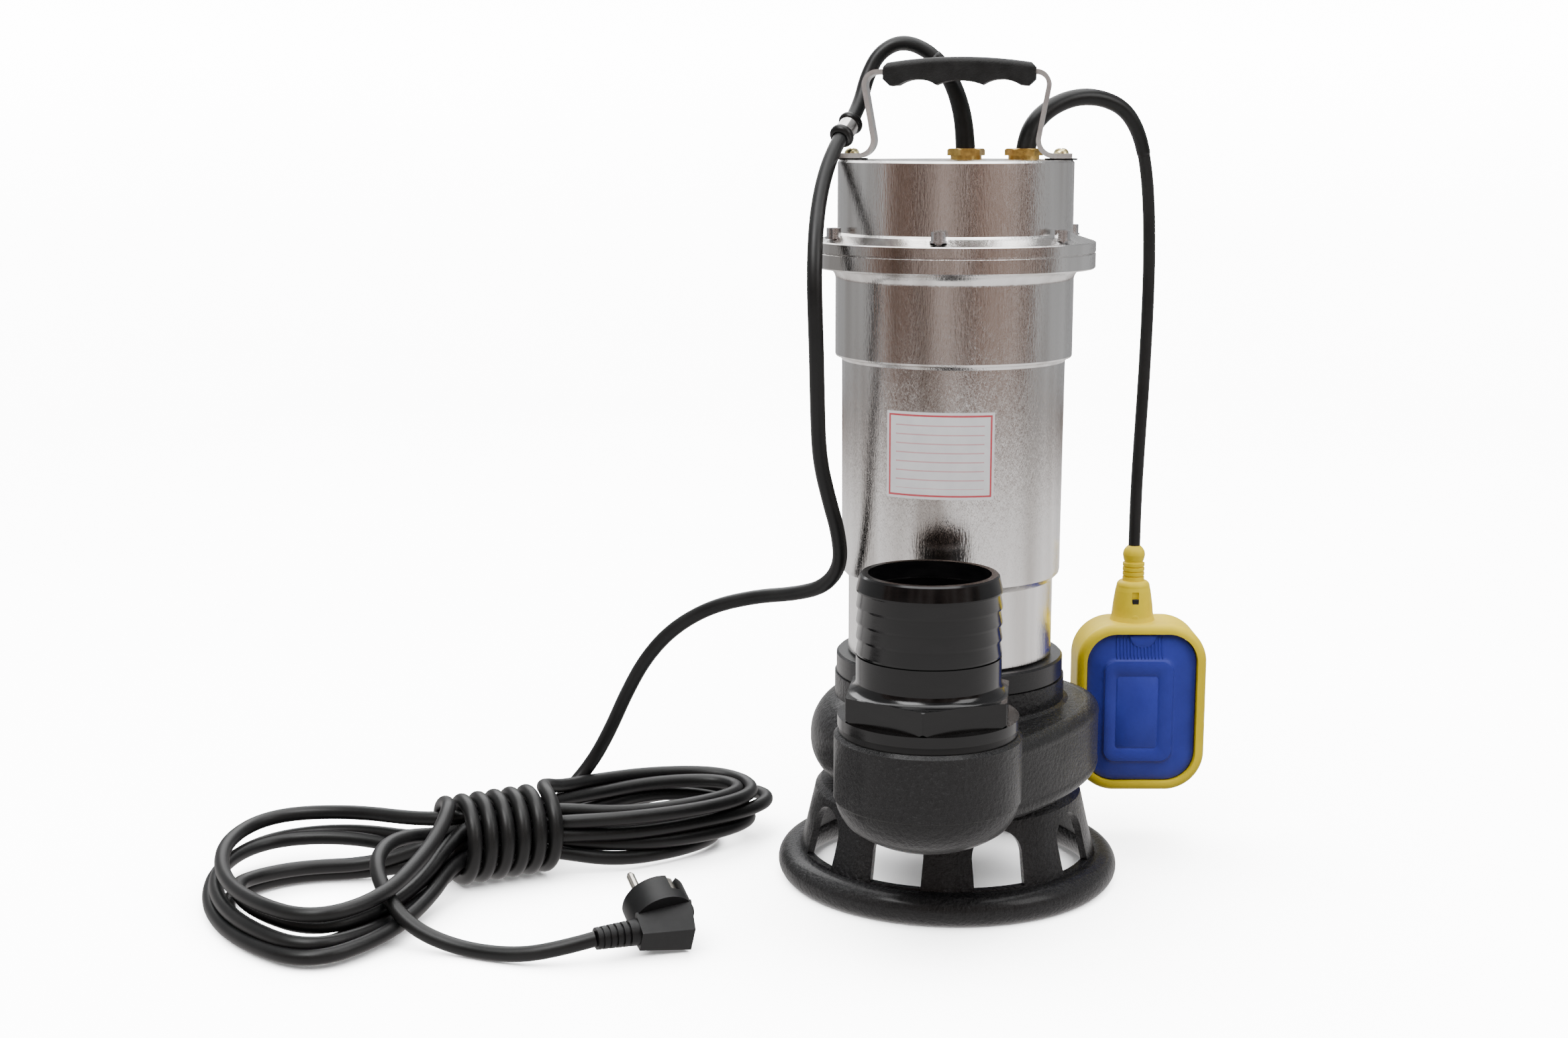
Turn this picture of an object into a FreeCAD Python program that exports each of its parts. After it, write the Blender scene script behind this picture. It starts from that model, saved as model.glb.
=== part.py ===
import FreeCAD
import Part
import math
import os

# Submersible sump pump, millimetres. The pump's axis is Z, the floor is z = 0, and the outlet faces -Y.
V = FreeCAD.Vector
UP = V(0, 0, 1)

# ---- driving dimensions: strainer base
BEAD_RING_R = 94.0
BEAD_R = 9.7
BEAD_Z = 9.2
BASE_TOP_Z = 60.0
BASE_PLATE_Z = 54.5
BASE_WALL = 4.5
LEGS = 9
WINDOW_TURN = -3.9
WINDOW_HALF = 15.6
WINDOW_SILL_Z = 19.2
WINDOW_TOP_Z = 52.0

# ---- driving dimensions: volute casing and outlet
OUTLET = V(-20.4, -118.3, 0)
BOSS_R = 52.4
BOSS_TOP_Z = 123.0
BOSS_SEAM_Z = 84.5
BOSS_BOTTOM_Z = 56.0
OUTLET_BORE_R = 34.0
THREAD_R = 37.0
SCROLL_INNER_R = 48.0
SCROLL_CORNER = 9.0
CASING_WALL = 6.5
CHAMBER_R = 58.0
CHAMBER_FLOOR_Z = 66.0
NECK_R = 69.4
NECK_TOP_Z = 128.0
GASKET_T = 0.8
EYE_R = 26.0

# ---- driving dimensions: pump cover and motor
COVER_R = 68.4
COVER_TOP_Z = 140.8
SHEET = 3.0
HOUSING_R = 61.3
STEP2_Z = 191.6
MID_R = 65.4
STEP1_Z = 320.6
UPPER_R = 70.0
FLANGE_R = 82.5
FLANGE_BOTTOM_Z = 372.3
JOINT_Z = 381.2
FLANGE_EDGE_Z = 388.0
GAP = 0.7
GAP_DEPTH = 2.2
TOP_R = 69.0
TOP_Z = 434.6
STATOR_Z = (212.0, 300.0)
ROTOR_R = 37.6
SHAFT_R = 11.0
LOWER_BEARING = {"bore": 8.5, "outer": 20.0, "z": 148.0, "width": 12.0, "balls": 8, "ball_r": 3.4}
UPPER_BEARING = {"bore": 7.5, "outer": 17.5, "z": 323.0, "width": 11.0, "balls": 8, "ball_r": 3.0}

# ---- driving dimensions: screws
SCREW_PITCH_R = 75.7
SCREW_ANGLE = -101.3
SEAT_Z = 390.0
HOUSING_SCREW_R = 53.5
BASE_SCREW_R = 46.0
CASING_SCREW_R = 63.5
M5_R = 2.45
M5_HOLE_R = 2.5
M6_R = 2.95
M6_HOLE_R = 3.0

# ---- driving dimensions: handle
HANDLE_TURN = -7.5
FOOT_X = 61.0
FOOT_END_X = 67.5
STRAP_W = 20.0
STRAP_T = 2.7
PAD_T = 1.0
GRIP_HALF = 44.0
GRIP_W = 24.0
GRIP_SHIFT = 1.7
STRAP_TOP_Z = 485.0
STRAP_TOP_X = 54.8

# ---- driving dimensions: glands, cords and what is on them
MAINS_AT = V(7.9, 23.3, TOP_Z)
FLOAT_AT = V(42.0, 21.3, TOP_Z)
HEX_AF = 20.0
SLEEVE_R = 6.1
MAINS_D = 8.8
FLOAT_D = 7.5
COLLAR_R = 6.0
GROMMET_R = 7.4
HANK_AT = V(-277.0, -10.0, 0)
HANK_TURN = 27.0
HANK_LOW = 22.5
HANK_HIGH = 40.0
WAIST_Z = 28.5
WAIST_HALF_Z = 27.6
WAIST_HALF_V = 30.5
WAIST_HALF_U = 34.0

# Mains cord, from inside the gland to the hank. The first points run inside the rubber sleeve.
MAINS_ROUTE = [
    (7.9, 23.3, 429.0),
    (7.4, 23.0, 447.0),
    (4.4, 22.6, 466.0),
    (-2.6, 23.6, 483.5),
    (-14.0, 26.2, 497.5),
    (-30.2, 28.5, 504.0),
    (-44.0, 28.8, 497.0),
    (-51.2, 27.2, 483.0),
    (-54.8, 22.4, 469.0),
    (-61.0, 11.5, 456.0),
    (-68.8, -2.5, 445.5),
    (-75.8, -14.5, 430.0),
    (-80.5, -28.0, 411.0),
    (-82.8, -44.0, 390.0),
    (-83.3, -53.0, 364.0),
    (-82.0, -50.5, 331.0),
    (-81.2, -44.5, 297.0),
    (-80.0, -38.5, 264.5),
    (-74.5, -37.0, 240.5),
    (-68.4, -35.0, 219.0),
    (-66.8, -30.5, 199.0),
    (-76.0, -18.0, 183.5),
    (-93.5, -1.0, 175.5),
    (-118.0, 17.0, 170.0),
    (-146.0, 31.0, 160.5),
    (-170.0, 40.5, 144.5),
    (-187.5, 47.5, 124.0),
    (-200.5, 53.5, 99.5),
    (-211.5, 58.5, 74.0),
    (-223.5, 61.0, 50.5),
    (-239.0, 55.0, 32.5),
    (-254.0, 41.0, 20.5),
]
SLEEVE_BENDS = 3
SLEEVE_TIP = 10.0

# Free end of the mains cord, from the hank to the plug.
TAIL_ROUTE = [
    (-309.0, -12.0, 20.0),
    (-325.5, -28.0, 24.5),
    (-334.5, -54.0, 27.5),
    (-335.0, -86.0, 28.0),
    (-326.0, -115.0, 23.0),
    (-308.5, -131.5, 12.5),
    (-283.0, -141.0, 4.8),
    (-254.0, -152.5, 4.7),
    (-228.5, -158.0, 9.0),
    (-203.8, -152.5, 14.4),
]

# Float cord, from inside its gland over the arch and straight down to the float.
FLOAT_ROUTE = [
    (42.0, 21.3, 429.0),
    (43.2, 22.0, 445.0),
    (49.0, 25.2, 457.5),
    (60.5, 29.5, 466.5),
    (75.0, 34.5, 471.5),
    (90.5, 40.5, 470.8),
    (105.0, 46.0, 464.5),
    (114.5, 50.5, 451.0),
    (120.0, 55.0, 432.5),
    (123.6, 59.2, 406.0),
    (125.3, 62.2, 371.0),
    (125.3, 64.0, 335.0),
    (124.4, 64.6, 297.0),
    (122.8, 65.0, 257.0),
    (121.6, 65.0, 222.0),
    (121.5, 65.0, 193.3),
]
FLOAT_SLEEVE_BENDS = 5
FLOAT_SLEEVE_TIP = 9.0

# ---- driving dimensions: float
PIVOT = V(121.5, 65.0, 186.8)
DOME_R = 7.0
FLOAT_X = 126.0
FLOAT_BOTTOM_Z = 36.7
FLOAT_TOP_Z = 145.0
FLOAT_W = 82.0
FLOAT_HALF_T = 19.0
FLOAT_CORNER = 25.0
RIM = 6.0
BALL_R = 6.0

# ---- driving dimensions: plug
PLUG_END = V(-203.8, -152.5, 14.4)
CABLE_ANGLE = 204.5
PIN_TILT = 26.0
PLUG_R = 18.5
BOOT_L = 24.0
CLIP_TURN = 25.0
PIN_SPACING = 19.0


# ---- helpers
def cylinder(radius, z0, z1, at=V(0, 0, 0)):
    return Part.makeCylinder(radius, z1 - z0, V(at.x, at.y, z0))


def ring(inner, outer, z0, z1, at=V(0, 0, 0)):
    return cylinder(outer, z0, z1, at).cut(cylinder(inner, z0 - 1, z1 + 1, at))


def face_of(points, plane="xz", at=V(0, 0, 0)):
    """A flat face from 2-D points. Three-number points (u, v, 'mid') mark the middle of an arc."""
    def place(p):
        if plane == "xz":
            return V(at.x + p[0], at.y, at.z + p[1])
        return V(at.x + p[0], at.y + p[1], at.z)
    edges = []
    count = len(points)
    i = 0
    while i < count:
        nxt = points[(i + 1) % count]
        if len(nxt) == 3:
            end = points[(i + 2) % count]
            edges.append(Part.Arc(place(points[i]), place(nxt), place(end)).toShape())
            i += 2
        else:
            edges.append(Part.LineSegment(place(points[i]), place(nxt)).toShape())
            i += 1
    return Part.Face(Part.Wire(edges))


def turned(points, at=V(0, 0, 0)):
    """A solid of revolution about the vertical line through `at`, from (radius, z) points."""
    return face_of(points, "xz", at).revolve(at, UP, 360)


def prism(points, z0, z1, at=V(0, 0, 0)):
    return face_of(points, "xy", V(at.x, at.y, z0)).extrude(V(0, 0, z1 - z0))


def hexagon(across_flats, z0, z1, at, turn=0.0):
    corner_r = across_flats / math.sqrt(3.0)
    points = []
    for k in range(6):
        a = math.radians(turn + 60.0 * k)
        points.append((corner_r * math.cos(a), corner_r * math.sin(a)))
    return prism(points, z0, z1, at)


def polar(radius, degrees, z=0.0):
    a = math.radians(degrees)
    return V(radius * math.cos(a), radius * math.sin(a), z)


def rounded(shape, radius, pick):
    """Round the edges that `pick` accepts."""
    edges = [e for e in shape.Edges if pick(e)]
    return shape.makeFillet(radius, edges) if edges else shape


def cord_path(route, bends=None):
    """Straight runs joined by tangent arcs, each as large as its two runs allow.

    With `bends` given, the path stops just past that many bends, halfway along the next run.
    """
    pts = [V(*p) for p in route]
    whole = len(pts) - 2
    bends = whole if bends is None else bends
    edges = []
    start = pts[0]
    for i in range(1, bends + 1):
        back = pts[i - 1] - pts[i]
        ahead = pts[i + 1] - pts[i]
        half = (math.pi - back.getAngle(ahead)) / 2
        reach = 0.45 * min(back.Length, ahead.Length)
        radius = reach / math.tan(half)
        u = V(back).normalize()
        w = V(ahead).normalize()
        first = pts[i] + u * reach
        last = pts[i] + w * reach
        middle = pts[i] + (u + w).normalize() * (radius / math.cos(half) - radius)
        edges.append(Part.LineSegment(start, first).toShape())
        edges.append(Part.Arc(first, middle, last).toShape())
        start = last
    end = pts[-1] if bends == whole else (pts[bends] + pts[bends + 1]) * 0.5
    edges.append(Part.LineSegment(start, end).toShape())
    return Part.Wire(edges)


def cord_tube(route, diameter, bends=None, end_diameter=None):
    """Round tube along a route; it tapers evenly when the end diameter is given."""
    path = cord_path(route, bends)
    begin = V(*route[0])
    sections = [Part.Wire(Part.makeCircle(diameter / 2, begin, V(*route[1]) - begin))]
    if end_diameter:
        along = V(*route[bends + 1]) - V(*route[bends])
        tip = (V(*route[bends]) + V(*route[bends + 1])) * 0.5
        sections.append(Part.Wire(Part.makeCircle(end_diameter / 2, tip, along)))
    return path.makePipeShell(sections, True, False)


# ---- strainer base
def strainer_base():
    bead = turned([(BEAD_RING_R - BEAD_R, BEAD_Z), (BEAD_RING_R, BEAD_Z + BEAD_R, "mid"),
                   (BEAD_RING_R + BEAD_R, BEAD_Z), (BEAD_RING_R, BEAD_Z - BEAD_R, "mid")])
    bead = bead.cut(cylinder(BEAD_RING_R + 2 * BEAD_R, -BEAD_R, 0))
    wall = BASE_WALL
    skirt = turned([(34, BASE_PLATE_Z), (34, BASE_TOP_Z), (77.5, BASE_TOP_Z), (81, 56), (86, 34),
                    (90.3, 17), (93, 9), (93 - wall, 9), (90.3 - wall, 17), (86 - wall, 34),
                    (81 - wall, BASE_PLATE_Z)])
    base = bead.fuse(skirt)
    arch_z = WINDOW_TOP_Z - WINDOW_HALF
    window = face_of([(-WINDOW_HALF, WINDOW_SILL_Z), (WINDOW_HALF, WINDOW_SILL_Z), (WINDOW_HALF, arch_z),
                      (0, WINDOW_TOP_Z, "mid"), (-WINDOW_HALF, arch_z)], "xz", V(0, -60, 0))
    cutter = window.extrude(V(0, -50, 0))
    step = 360.0 / LEGS
    for k in range(LEGS):
        piece = cutter.copy()
        piece.rotate(V(0, 0, 0), UP, step * (k + 0.5) + WINDOW_TURN)
        base = base.cut(piece)
    for k in range(3):
        base = base.cut(cylinder(M6_HOLE_R + 0.3, 40, 70, polar(BASE_SCREW_R, 30 + 120 * k)))
    return base.removeSplitter()


def socket_screw(head_r, head_h, shank_r, length, at, down=True):
    """Head standing on `at`; the shank runs down from it, or up when down is False."""
    screw = Part.makeCylinder(head_r, head_h, V(0, 0, 0))
    screw = screw.fuse(Part.makeCylinder(shank_r, length, V(0, 0, -length)))
    screw = screw.cut(hexagon(head_r * 1.0, head_h * 0.45, head_h + 1, V(0, 0, 0)))
    if not down:
        screw.rotate(V(0, 0, 0), V(1, 0, 0), 180)
    screw.translate(at)
    return screw


def base_screws():
    return [socket_screw(5.0, 5.0, M6_R, 10.0, polar(BASE_SCREW_R, 30 + 120 * k, BASE_PLATE_Z), False) for k in range(3)]


# ---- volute casing
def scroll_section(centre, along, half_w, low, high, corner):
    """Upright rounded rectangle, square to `along`, round the point `centre` of the floor plan."""
    side = along.cross(UP).normalize()
    flat = [(-half_w + corner, low), (half_w - corner, low), (half_w, low + corner), (half_w, high - corner),
            (half_w - corner, high), (-half_w + corner, high), (-half_w, high - corner), (-half_w, low + corner)]
    pts = [centre + side * u + UP * z for u, z in flat]
    edges = []
    for i in range(0, 8, 2):
        first, last, after = pts[i], pts[i + 1], pts[(i + 2) % 8]
        edges.append(Part.LineSegment(first, last).toShape())
        u_mid = (flat[i + 1][0] + flat[(i + 2) % 8][0]) / 2
        z_mid = (flat[i + 1][1] + flat[(i + 2) % 8][1]) / 2
        grow = 1 + (math.sqrt(2) - 1) * corner / math.hypot(u_mid, z_mid - (low + high) / 2)
        middle = centre + side * (u_mid * grow) + UP * ((low + high) / 2 + (z_mid - (low + high) / 2) * grow)
        edges.append(Part.Arc(last, middle, after).toShape())
    return Part.Wire(edges)


def scroll_stations(inset):
    """Sections along the scroll: clockwise from the tongue, then forward into the outlet boss."""
    stations = []
    for turn, outer_r, low, high in [(50, 78.0, 76, 101), (95, 81.0, 73, 105), (140, 83.5, 71.5, 107.5),
                                     (185, 86.0, 70.5, 109.5), (230, 88.5, 69.5, 111), (275, 91.0, 68.5, 112.5),
                                     (305, 91.5, 67.5, 113)]:
        a = math.radians(turn)
        middle_r = (outer_r + SCROLL_INNER_R) / 2
        centre = V(-middle_r * math.sin(a), -middle_r * math.cos(a), 0)
        along = V(-math.cos(a), math.sin(a), 0)
        stations.append((centre, along, (outer_r - SCROLL_INNER_R) / 2, low, high))
    stations.append((V(29, -74, 0), V(-0.72, -0.69, 0), 24.0, 66, 112))
    stations.append((V(0, -100, 0), V(-0.74, -0.67, 0), 24.5, 67, 111))
    wall = inset
    return [scroll_section(c, d, w - wall, low + wall, high - wall, SCROLL_CORNER - wall / 2)
            for c, d, w, low, high in stations]


def volute_casing():
    scroll = Part.makeLoft(scroll_stations(0.0), True, False)
    body = turned([(0, BASE_TOP_Z), (62, BASE_TOP_Z), (78, 69.5, "mid"), (84, 88), (80, 104, "mid"),
                   (NECK_R, 114.5), (NECK_R, NECK_TOP_Z), (0, NECK_TOP_Z)])
    boss = turned([(0, BOSS_BOTTOM_Z), (25, 59.4, "mid"), (44.0, 69.4), (49.6, 77.5, "mid"),
                   (BOSS_R - 0.8, BOSS_SEAM_Z), (BOSS_R, BOSS_SEAM_Z + 0.8),
                   (BOSS_R, BOSS_TOP_Z - 2), (BOSS_R - 2, BOSS_TOP_Z), (0, BOSS_TOP_Z)], OUTLET)
    outer = body.fuse([scroll, boss])
    passage = Part.makeLoft(scroll_stations(CASING_WALL), True, False)
    chamber = cylinder(CHAMBER_R, CHAMBER_FLOOR_Z, NECK_TOP_Z + 1)
    well = turned([(0, 63), (20, 67, "mid"), (OUTLET_BORE_R, 82), (OUTLET_BORE_R, 98), (THREAD_R + 0.05, 98),
                   (THREAD_R + 0.05, BOSS_TOP_Z + 1), (0, BOSS_TOP_Z + 1)], OUTLET)
    eye = cylinder(EYE_R, BASE_TOP_Z - 1, CHAMBER_FLOOR_Z + 1)
    casing = outer.cut([passage, chamber, well, eye])
    for k in range(3):
        casing = casing.cut(cylinder(M6_HOLE_R, BASE_TOP_Z - 1, 65, polar(BASE_SCREW_R, 30 + 120 * k)))
    for k in range(4):
        casing = casing.cut(cylinder(M5_HOLE_R, 108, NECK_TOP_Z + 1, polar(CASING_SCREW_R, 45 + 90 * k)))
    return casing.removeSplitter()


def casing_gasket():
    return ring(58.4, 60.8, NECK_TOP_Z, NECK_TOP_Z + GASKET_T)


def casing_screws():
    screws = []
    for k in range(4):
        screws.append(cylinder(M5_R, 113, 137, polar(CASING_SCREW_R, 45 + 90 * k)))
    return screws


def discharge_gasket():
    return ring(THREAD_R + 0.4, 49.5, BOSS_TOP_Z, BOSS_TOP_Z + 4, OUTLET)


# ---- hose tail
HEX_TOP_Z = 146.7
HEX_AF_TAIL = 88.0
SPIGOT_R = 40.3
FLARE_TOP_Z = 152.0
BARB_EDGES_Z = [167.8, 176.6, 185.4, 194.2, 203.0]
RIM_TOP_Z = 212.6
RIM_R = 38.5
BARB_ROOT_R = 39.1


def hose_tail():
    """Threaded end, flange and hexagon, then a smooth spigot that flares into the hexagon, and barbs."""
    profile = [(OUTLET_BORE_R, 98), (THREAD_R, 98), (THREAD_R, 127), (50.4, 127), (50.4, 133), (SPIGOT_R, 133)]
    profile.append((SPIGOT_R, BARB_EDGES_Z[0] - 0.9))
    for edge in BARB_EDGES_Z:
        profile += [(BARB_ROOT_R, edge - 0.6), (BARB_ROOT_R, edge), (SPIGOT_R, edge + 0.1), (SPIGOT_R, edge + 1.0)]
    profile += [(RIM_R, RIM_TOP_Z - 1), (RIM_R - 1, RIM_TOP_Z), (OUTLET_BORE_R, RIM_TOP_Z)]
    tail = turned(profile, OUTLET)
    nut = hexagon(HEX_AF_TAIL, 133, FLARE_TOP_Z, OUTLET, -97).cut(cylinder(SPIGOT_R - 1, 130, 153, OUTLET))
    shape = [(0, 133), (49.4, 133), (50.6, 134.4), (50.6, HEX_TOP_Z - 0.5), (50.1, HEX_TOP_Z), (45.5, HEX_TOP_Z),
             (41.9, 148.6, "mid"), (SPIGOT_R, FLARE_TOP_Z), (0, FLARE_TOP_Z)]
    return tail.fuse(nut.common(turned(shape, OUTLET))).removeSplitter()


# ---- rotating set
SHAFT_END_Z = 69.0
HUB_Z = (76.0, 112.0)
IMPELLER_R = 52.0


def shaft():
    body = turned([(0, SHAFT_END_Z), (4.6, SHAFT_END_Z), (5, SHAFT_END_Z + 1), (5, HUB_Z[0]), (7, HUB_Z[0] + 1),
                   (7, HUB_Z[1]), (8, HUB_Z[1]), (8, 147.5), (8.5, 147.5), (8.5, 160), (SHAFT_R, 160),
                   (SHAFT_R, 322.5), (7.5, 322.5), (7.5, 337), (6.8, 338), (0, 338)])
    return body.cut(Part.makeBox(5.1, 5.1, 24, V(-2.55, 4.4, 82)))


def impeller_key():
    return Part.makeBox(5.0, 4.6, 22, V(-2.5, 4.5, 83))


def impeller_nut():
    nut = hexagon(17.0, SHAFT_END_Z + 0.6, HUB_Z[0] - 0.1, V(0, 0, 0))
    return nut.cut(cylinder(5.02, 60, 90))


def impeller():
    hub = turned([(7.02, HUB_Z[0]), (13, HUB_Z[0]), (16, 96), (22, 105), (IMPELLER_R, 106), (IMPELLER_R, 110),
                  (18, HUB_Z[1]), (7.02, HUB_Z[1])])
    blades = []
    for k in range(6):
        outer = [(12.0, 0.0), (30, 7.5, "mid"), (50.0, 0.0), (49.6, -4.0), (30, 3.0, "mid"), (12.0, -4.0)]
        blade = prism(outer, 79, 106)
        blade.rotate(V(0, 0, 0), UP, 60.0 * k)
        blades.append(blade)
    wheel = hub.fuse(blades).common(cylinder(IMPELLER_R, 70, 115)).cut(cylinder(7.02, 60, 120))
    slope = turned([(26, 70), (IMPELLER_R + 1, 70), (IMPELLER_R + 1, 92), (26, 78)])
    wheel = wheel.cut(slope)
    return wheel.cut(Part.makeBox(5.06, 5.2, 40, V(-2.53, 4.1, 75))).removeSplitter()


def rotor_core():
    return ring(SHAFT_R, ROTOR_R, STATOR_Z[0], STATOR_Z[1])


def rotor_end_rings():
    return [ring(24, 36, STATOR_Z[0] - 8, STATOR_Z[0]), ring(24, 36, STATOR_Z[1], STATOR_Z[1] + 8)]


def seal_seat():
    return ring(8.4, 15.9, 122, 128)


def seal_face():
    return ring(8.02, 13, 128.05, 133)


def seal_spring():
    return [Part.makeTorus(10.4, 1.1, V(0, 0, 134.2 + 2.3 * k)) for k in range(4)]


def bearing(size):
    """Outer ring, inner ring and balls of a deep-groove ball bearing."""
    bore, outer, z0, width = size["bore"], size["outer"], size["z"], size["width"]
    pitch = (bore + outer) / 2
    land = size["ball_r"] * 0.62
    middle = z0 + width / 2
    groove = Part.makeTorus(pitch, size["ball_r"] + 0.06, V(0, 0, middle))
    outer_ring = ring(pitch + land, outer, z0, z0 + width).cut(groove)
    inner_ring = ring(bore, pitch - land, z0, z0 + width).cut(groove)
    balls = []
    for k in range(size["balls"]):
        centre = polar(pitch, 360.0 * k / size["balls"], middle)
        balls.append(Part.makeSphere(size["ball_r"], centre))
    return outer_ring, inner_ring, balls


# ---- pump cover and motor shell
def pump_cover():
    disc = turned([(0, NECK_TOP_Z), (COVER_R - 0.6, NECK_TOP_Z), (COVER_R, NECK_TOP_Z + 0.6),
                   (COVER_R, COVER_TOP_Z - 1.2), (COVER_R - 1.2, COVER_TOP_Z), (0, COVER_TOP_Z)])
    disc = disc.fuse(cylinder(CHAMBER_R - 0.05, 116, NECK_TOP_Z))
    disc = disc.cut([cylinder(8.3, 110, 150), cylinder(15.95, 122, 150), ring(22, 48, 122, 150)])
    disc = disc.cut(cylinder(60.8, NECK_TOP_Z, NECK_TOP_Z + GASKET_T).cut(cylinder(58.4, 120, 135)))
    for k in range(4):
        disc = disc.cut(cylinder(M5_HOLE_R, 120, 137.5, polar(CASING_SCREW_R, 45 + 90 * k)))
        disc = disc.cut(cylinder(M5_HOLE_R, 130, 150, polar(HOUSING_SCREW_R, 90 * k)))
    return disc.removeSplitter()


def motor_housing():
    shell = turned([
        (17.2, COVER_TOP_Z), (HOUSING_R - 1.5, COVER_TOP_Z), (HOUSING_R, COVER_TOP_Z + 1.5),
        (HOUSING_R, STEP2_Z - 4), (MID_R - 0.3, STEP2_Z), (MID_R, STEP2_Z + 2),
        (MID_R + 0.6, STEP1_Z - 2.5), (MID_R + 1.8, STEP1_Z - 1), (UPPER_R - 0.4, STEP1_Z), (UPPER_R, STEP1_Z + 1),
        (UPPER_R, 365), (UPPER_R + 2, 370.3, "mid"), (UPPER_R + 7, FLANGE_BOTTOM_Z),
        (FLANGE_R - 0.8, FLANGE_BOTTOM_Z), (FLANGE_R, FLANGE_BOTTOM_Z + 0.8), (FLANGE_R, JOINT_Z - 0.3),
        (FLANGE_R - 0.3, JOINT_Z), (UPPER_R - SHEET, JOINT_Z), (UPPER_R - SHEET, STEP1_Z + 0.1),
        (MID_R - SHEET, STEP1_Z + 0.1), (MID_R - SHEET, STEP2_Z), (HOUSING_R - SHEET, STEP2_Z - 4),
        (HOUSING_R - SHEET, COVER_TOP_Z + 4), (26, COVER_TOP_Z + 4), (26, 162), (20, 162), (20, 147.8),
        (17.2, 147.8)])
    shell = shell.cut(ring(68.2, 71.2, 379.1, JOINT_Z + 1))
    for k in range(6):
        shell = shell.cut(cylinder(M5_HOLE_R, 360, 390, polar(SCREW_PITCH_R, SCREW_ANGLE + 60 * k)))
    for k in range(4):
        shell = shell.cut(cylinder(M5_HOLE_R, 130, 150, polar(HOUSING_SCREW_R, 90 * k)))
    return shell


def housing_screws():
    return [socket_screw(4.25, 4.5, M5_R, 13.0, polar(HOUSING_SCREW_R, 90 * k, COVER_TOP_Z + 4)) for k in range(4)]


def stator_core():
    return ring(ROTOR_R + 0.5, MID_R - SHEET - 0.02, *STATOR_Z)


def stator_windings():
    lower = turned([(41, 197), (43, 195), (56, 195), (58, 197), (58, STATOR_Z[0]), (41, STATOR_Z[0])])
    upper = turned([(41, STATOR_Z[1]), (58, STATOR_Z[1]), (58, 315), (56, 317), (43, 317), (41, 315)])
    return [lower, upper]


def upper_bearing_housing():
    plate = turned([(17.5, 322), (21, 322), (21, STEP1_Z + 0.2), (66.9, STEP1_Z + 0.2), (66.9, 326), (24, 326),
                    (24, 337), (17.5, 337)])
    for k in range(3):
        plate = plate.cut(cylinder(6, 318, 330, polar(45, 90 + 120 * k)))
    return plate


def capacitor():
    return turned([(0, 352), (19, 352), (20, 353), (20, 417), (18.5, 418.5), (0, 418.5)], V(-30, -14, 0))


def capacitor_clamp():
    band = ring(20.05, 21.5, 366, 380, V(-30, -14, 0))
    foot = Part.makeBox(14, 8, 40, V(-37, -43, 326)).fuse(Part.makeBox(14, 8, 14, V(-37, -43, 366)))
    return band.fuse(foot).cut(cylinder(20.05, 320, 390, V(-30, -14, 0))).removeSplitter()


def terminal_block():
    block = Part.makeBox(34, 16, 12, V(12, -30, 352))
    for k in range(3):
        block = block.cut(Part.makeCylinder(2.2, 20, V(18 + 11 * k, -22, 358), UP))
    legs = [Part.makeCylinder(2.5, 26, V(16, -22, 326)), Part.makeCylinder(2.5, 26, V(42, -22, 326))]
    return block.fuse(legs).removeSplitter()


def cover_oring():
    return ring(68.3, 71.1, 379.15, JOINT_Z)


def top_cover():
    wall = TOP_R - SHEET
    shell = turned([
        (wall - 2.1, 375), (66.9, 375), (66.9, JOINT_Z), (FLANGE_R - GAP_DEPTH, JOINT_Z),
        (FLANGE_R - GAP_DEPTH, JOINT_Z + GAP), (FLANGE_R - 0.3, JOINT_Z + GAP), (FLANGE_R, JOINT_Z + GAP + 0.3),
        (FLANGE_R, FLANGE_EDGE_Z - 0.6), (FLANGE_R - 0.8, FLANGE_EDGE_Z), (TOP_R + 1.5, 391.6),
        (TOP_R, 393), (TOP_R, TOP_Z - 1.2), (TOP_R - 1.2, TOP_Z), (0, TOP_Z), (0, TOP_Z - 5), (wall, TOP_Z - 5),
        (wall, 392), (wall - 2.1, 388)])
    for k in range(6):
        at = polar(SCREW_PITCH_R, SCREW_ANGLE + 60 * k)
        shell = shell.cut([cylinder(M5_HOLE_R, 370, 400, at), cylinder(5.05, SEAT_Z, 396, at)])
    for at in (MAINS_AT, FLOAT_AT):
        shell = shell.cut(cylinder(8.0, 420, 440, at))
    for side in (-1, 1):
        shell = shell.cut(cylinder(M5_HOLE_R, 420, 440, polar(side * FOOT_X, HANDLE_TURN)))
    return shell


def flange_screws():
    screws = []
    for k in range(6):
        at = polar(SCREW_PITCH_R, SCREW_ANGLE + 60 * k, SEAT_Z + 1.2)
        screws.append(socket_screw(4.25, 5.0, M5_R, 18.0, at))
    return screws


def flange_washers():
    return [ring(2.6, 4.9, SEAT_Z, SEAT_Z + 1.2, polar(SCREW_PITCH_R, SCREW_ANGLE + 60 * k)) for k in range(6)]


# ---- handle
STRAP_FOOT_Z = TOP_Z + PAD_T
STRAP_MID_Z = STRAP_FOOT_Z + STRAP_T / 2


def turn_handle(shape):
    shape.rotate(V(0, 0, 0), UP, HANDLE_TURN)
    return shape


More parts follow.
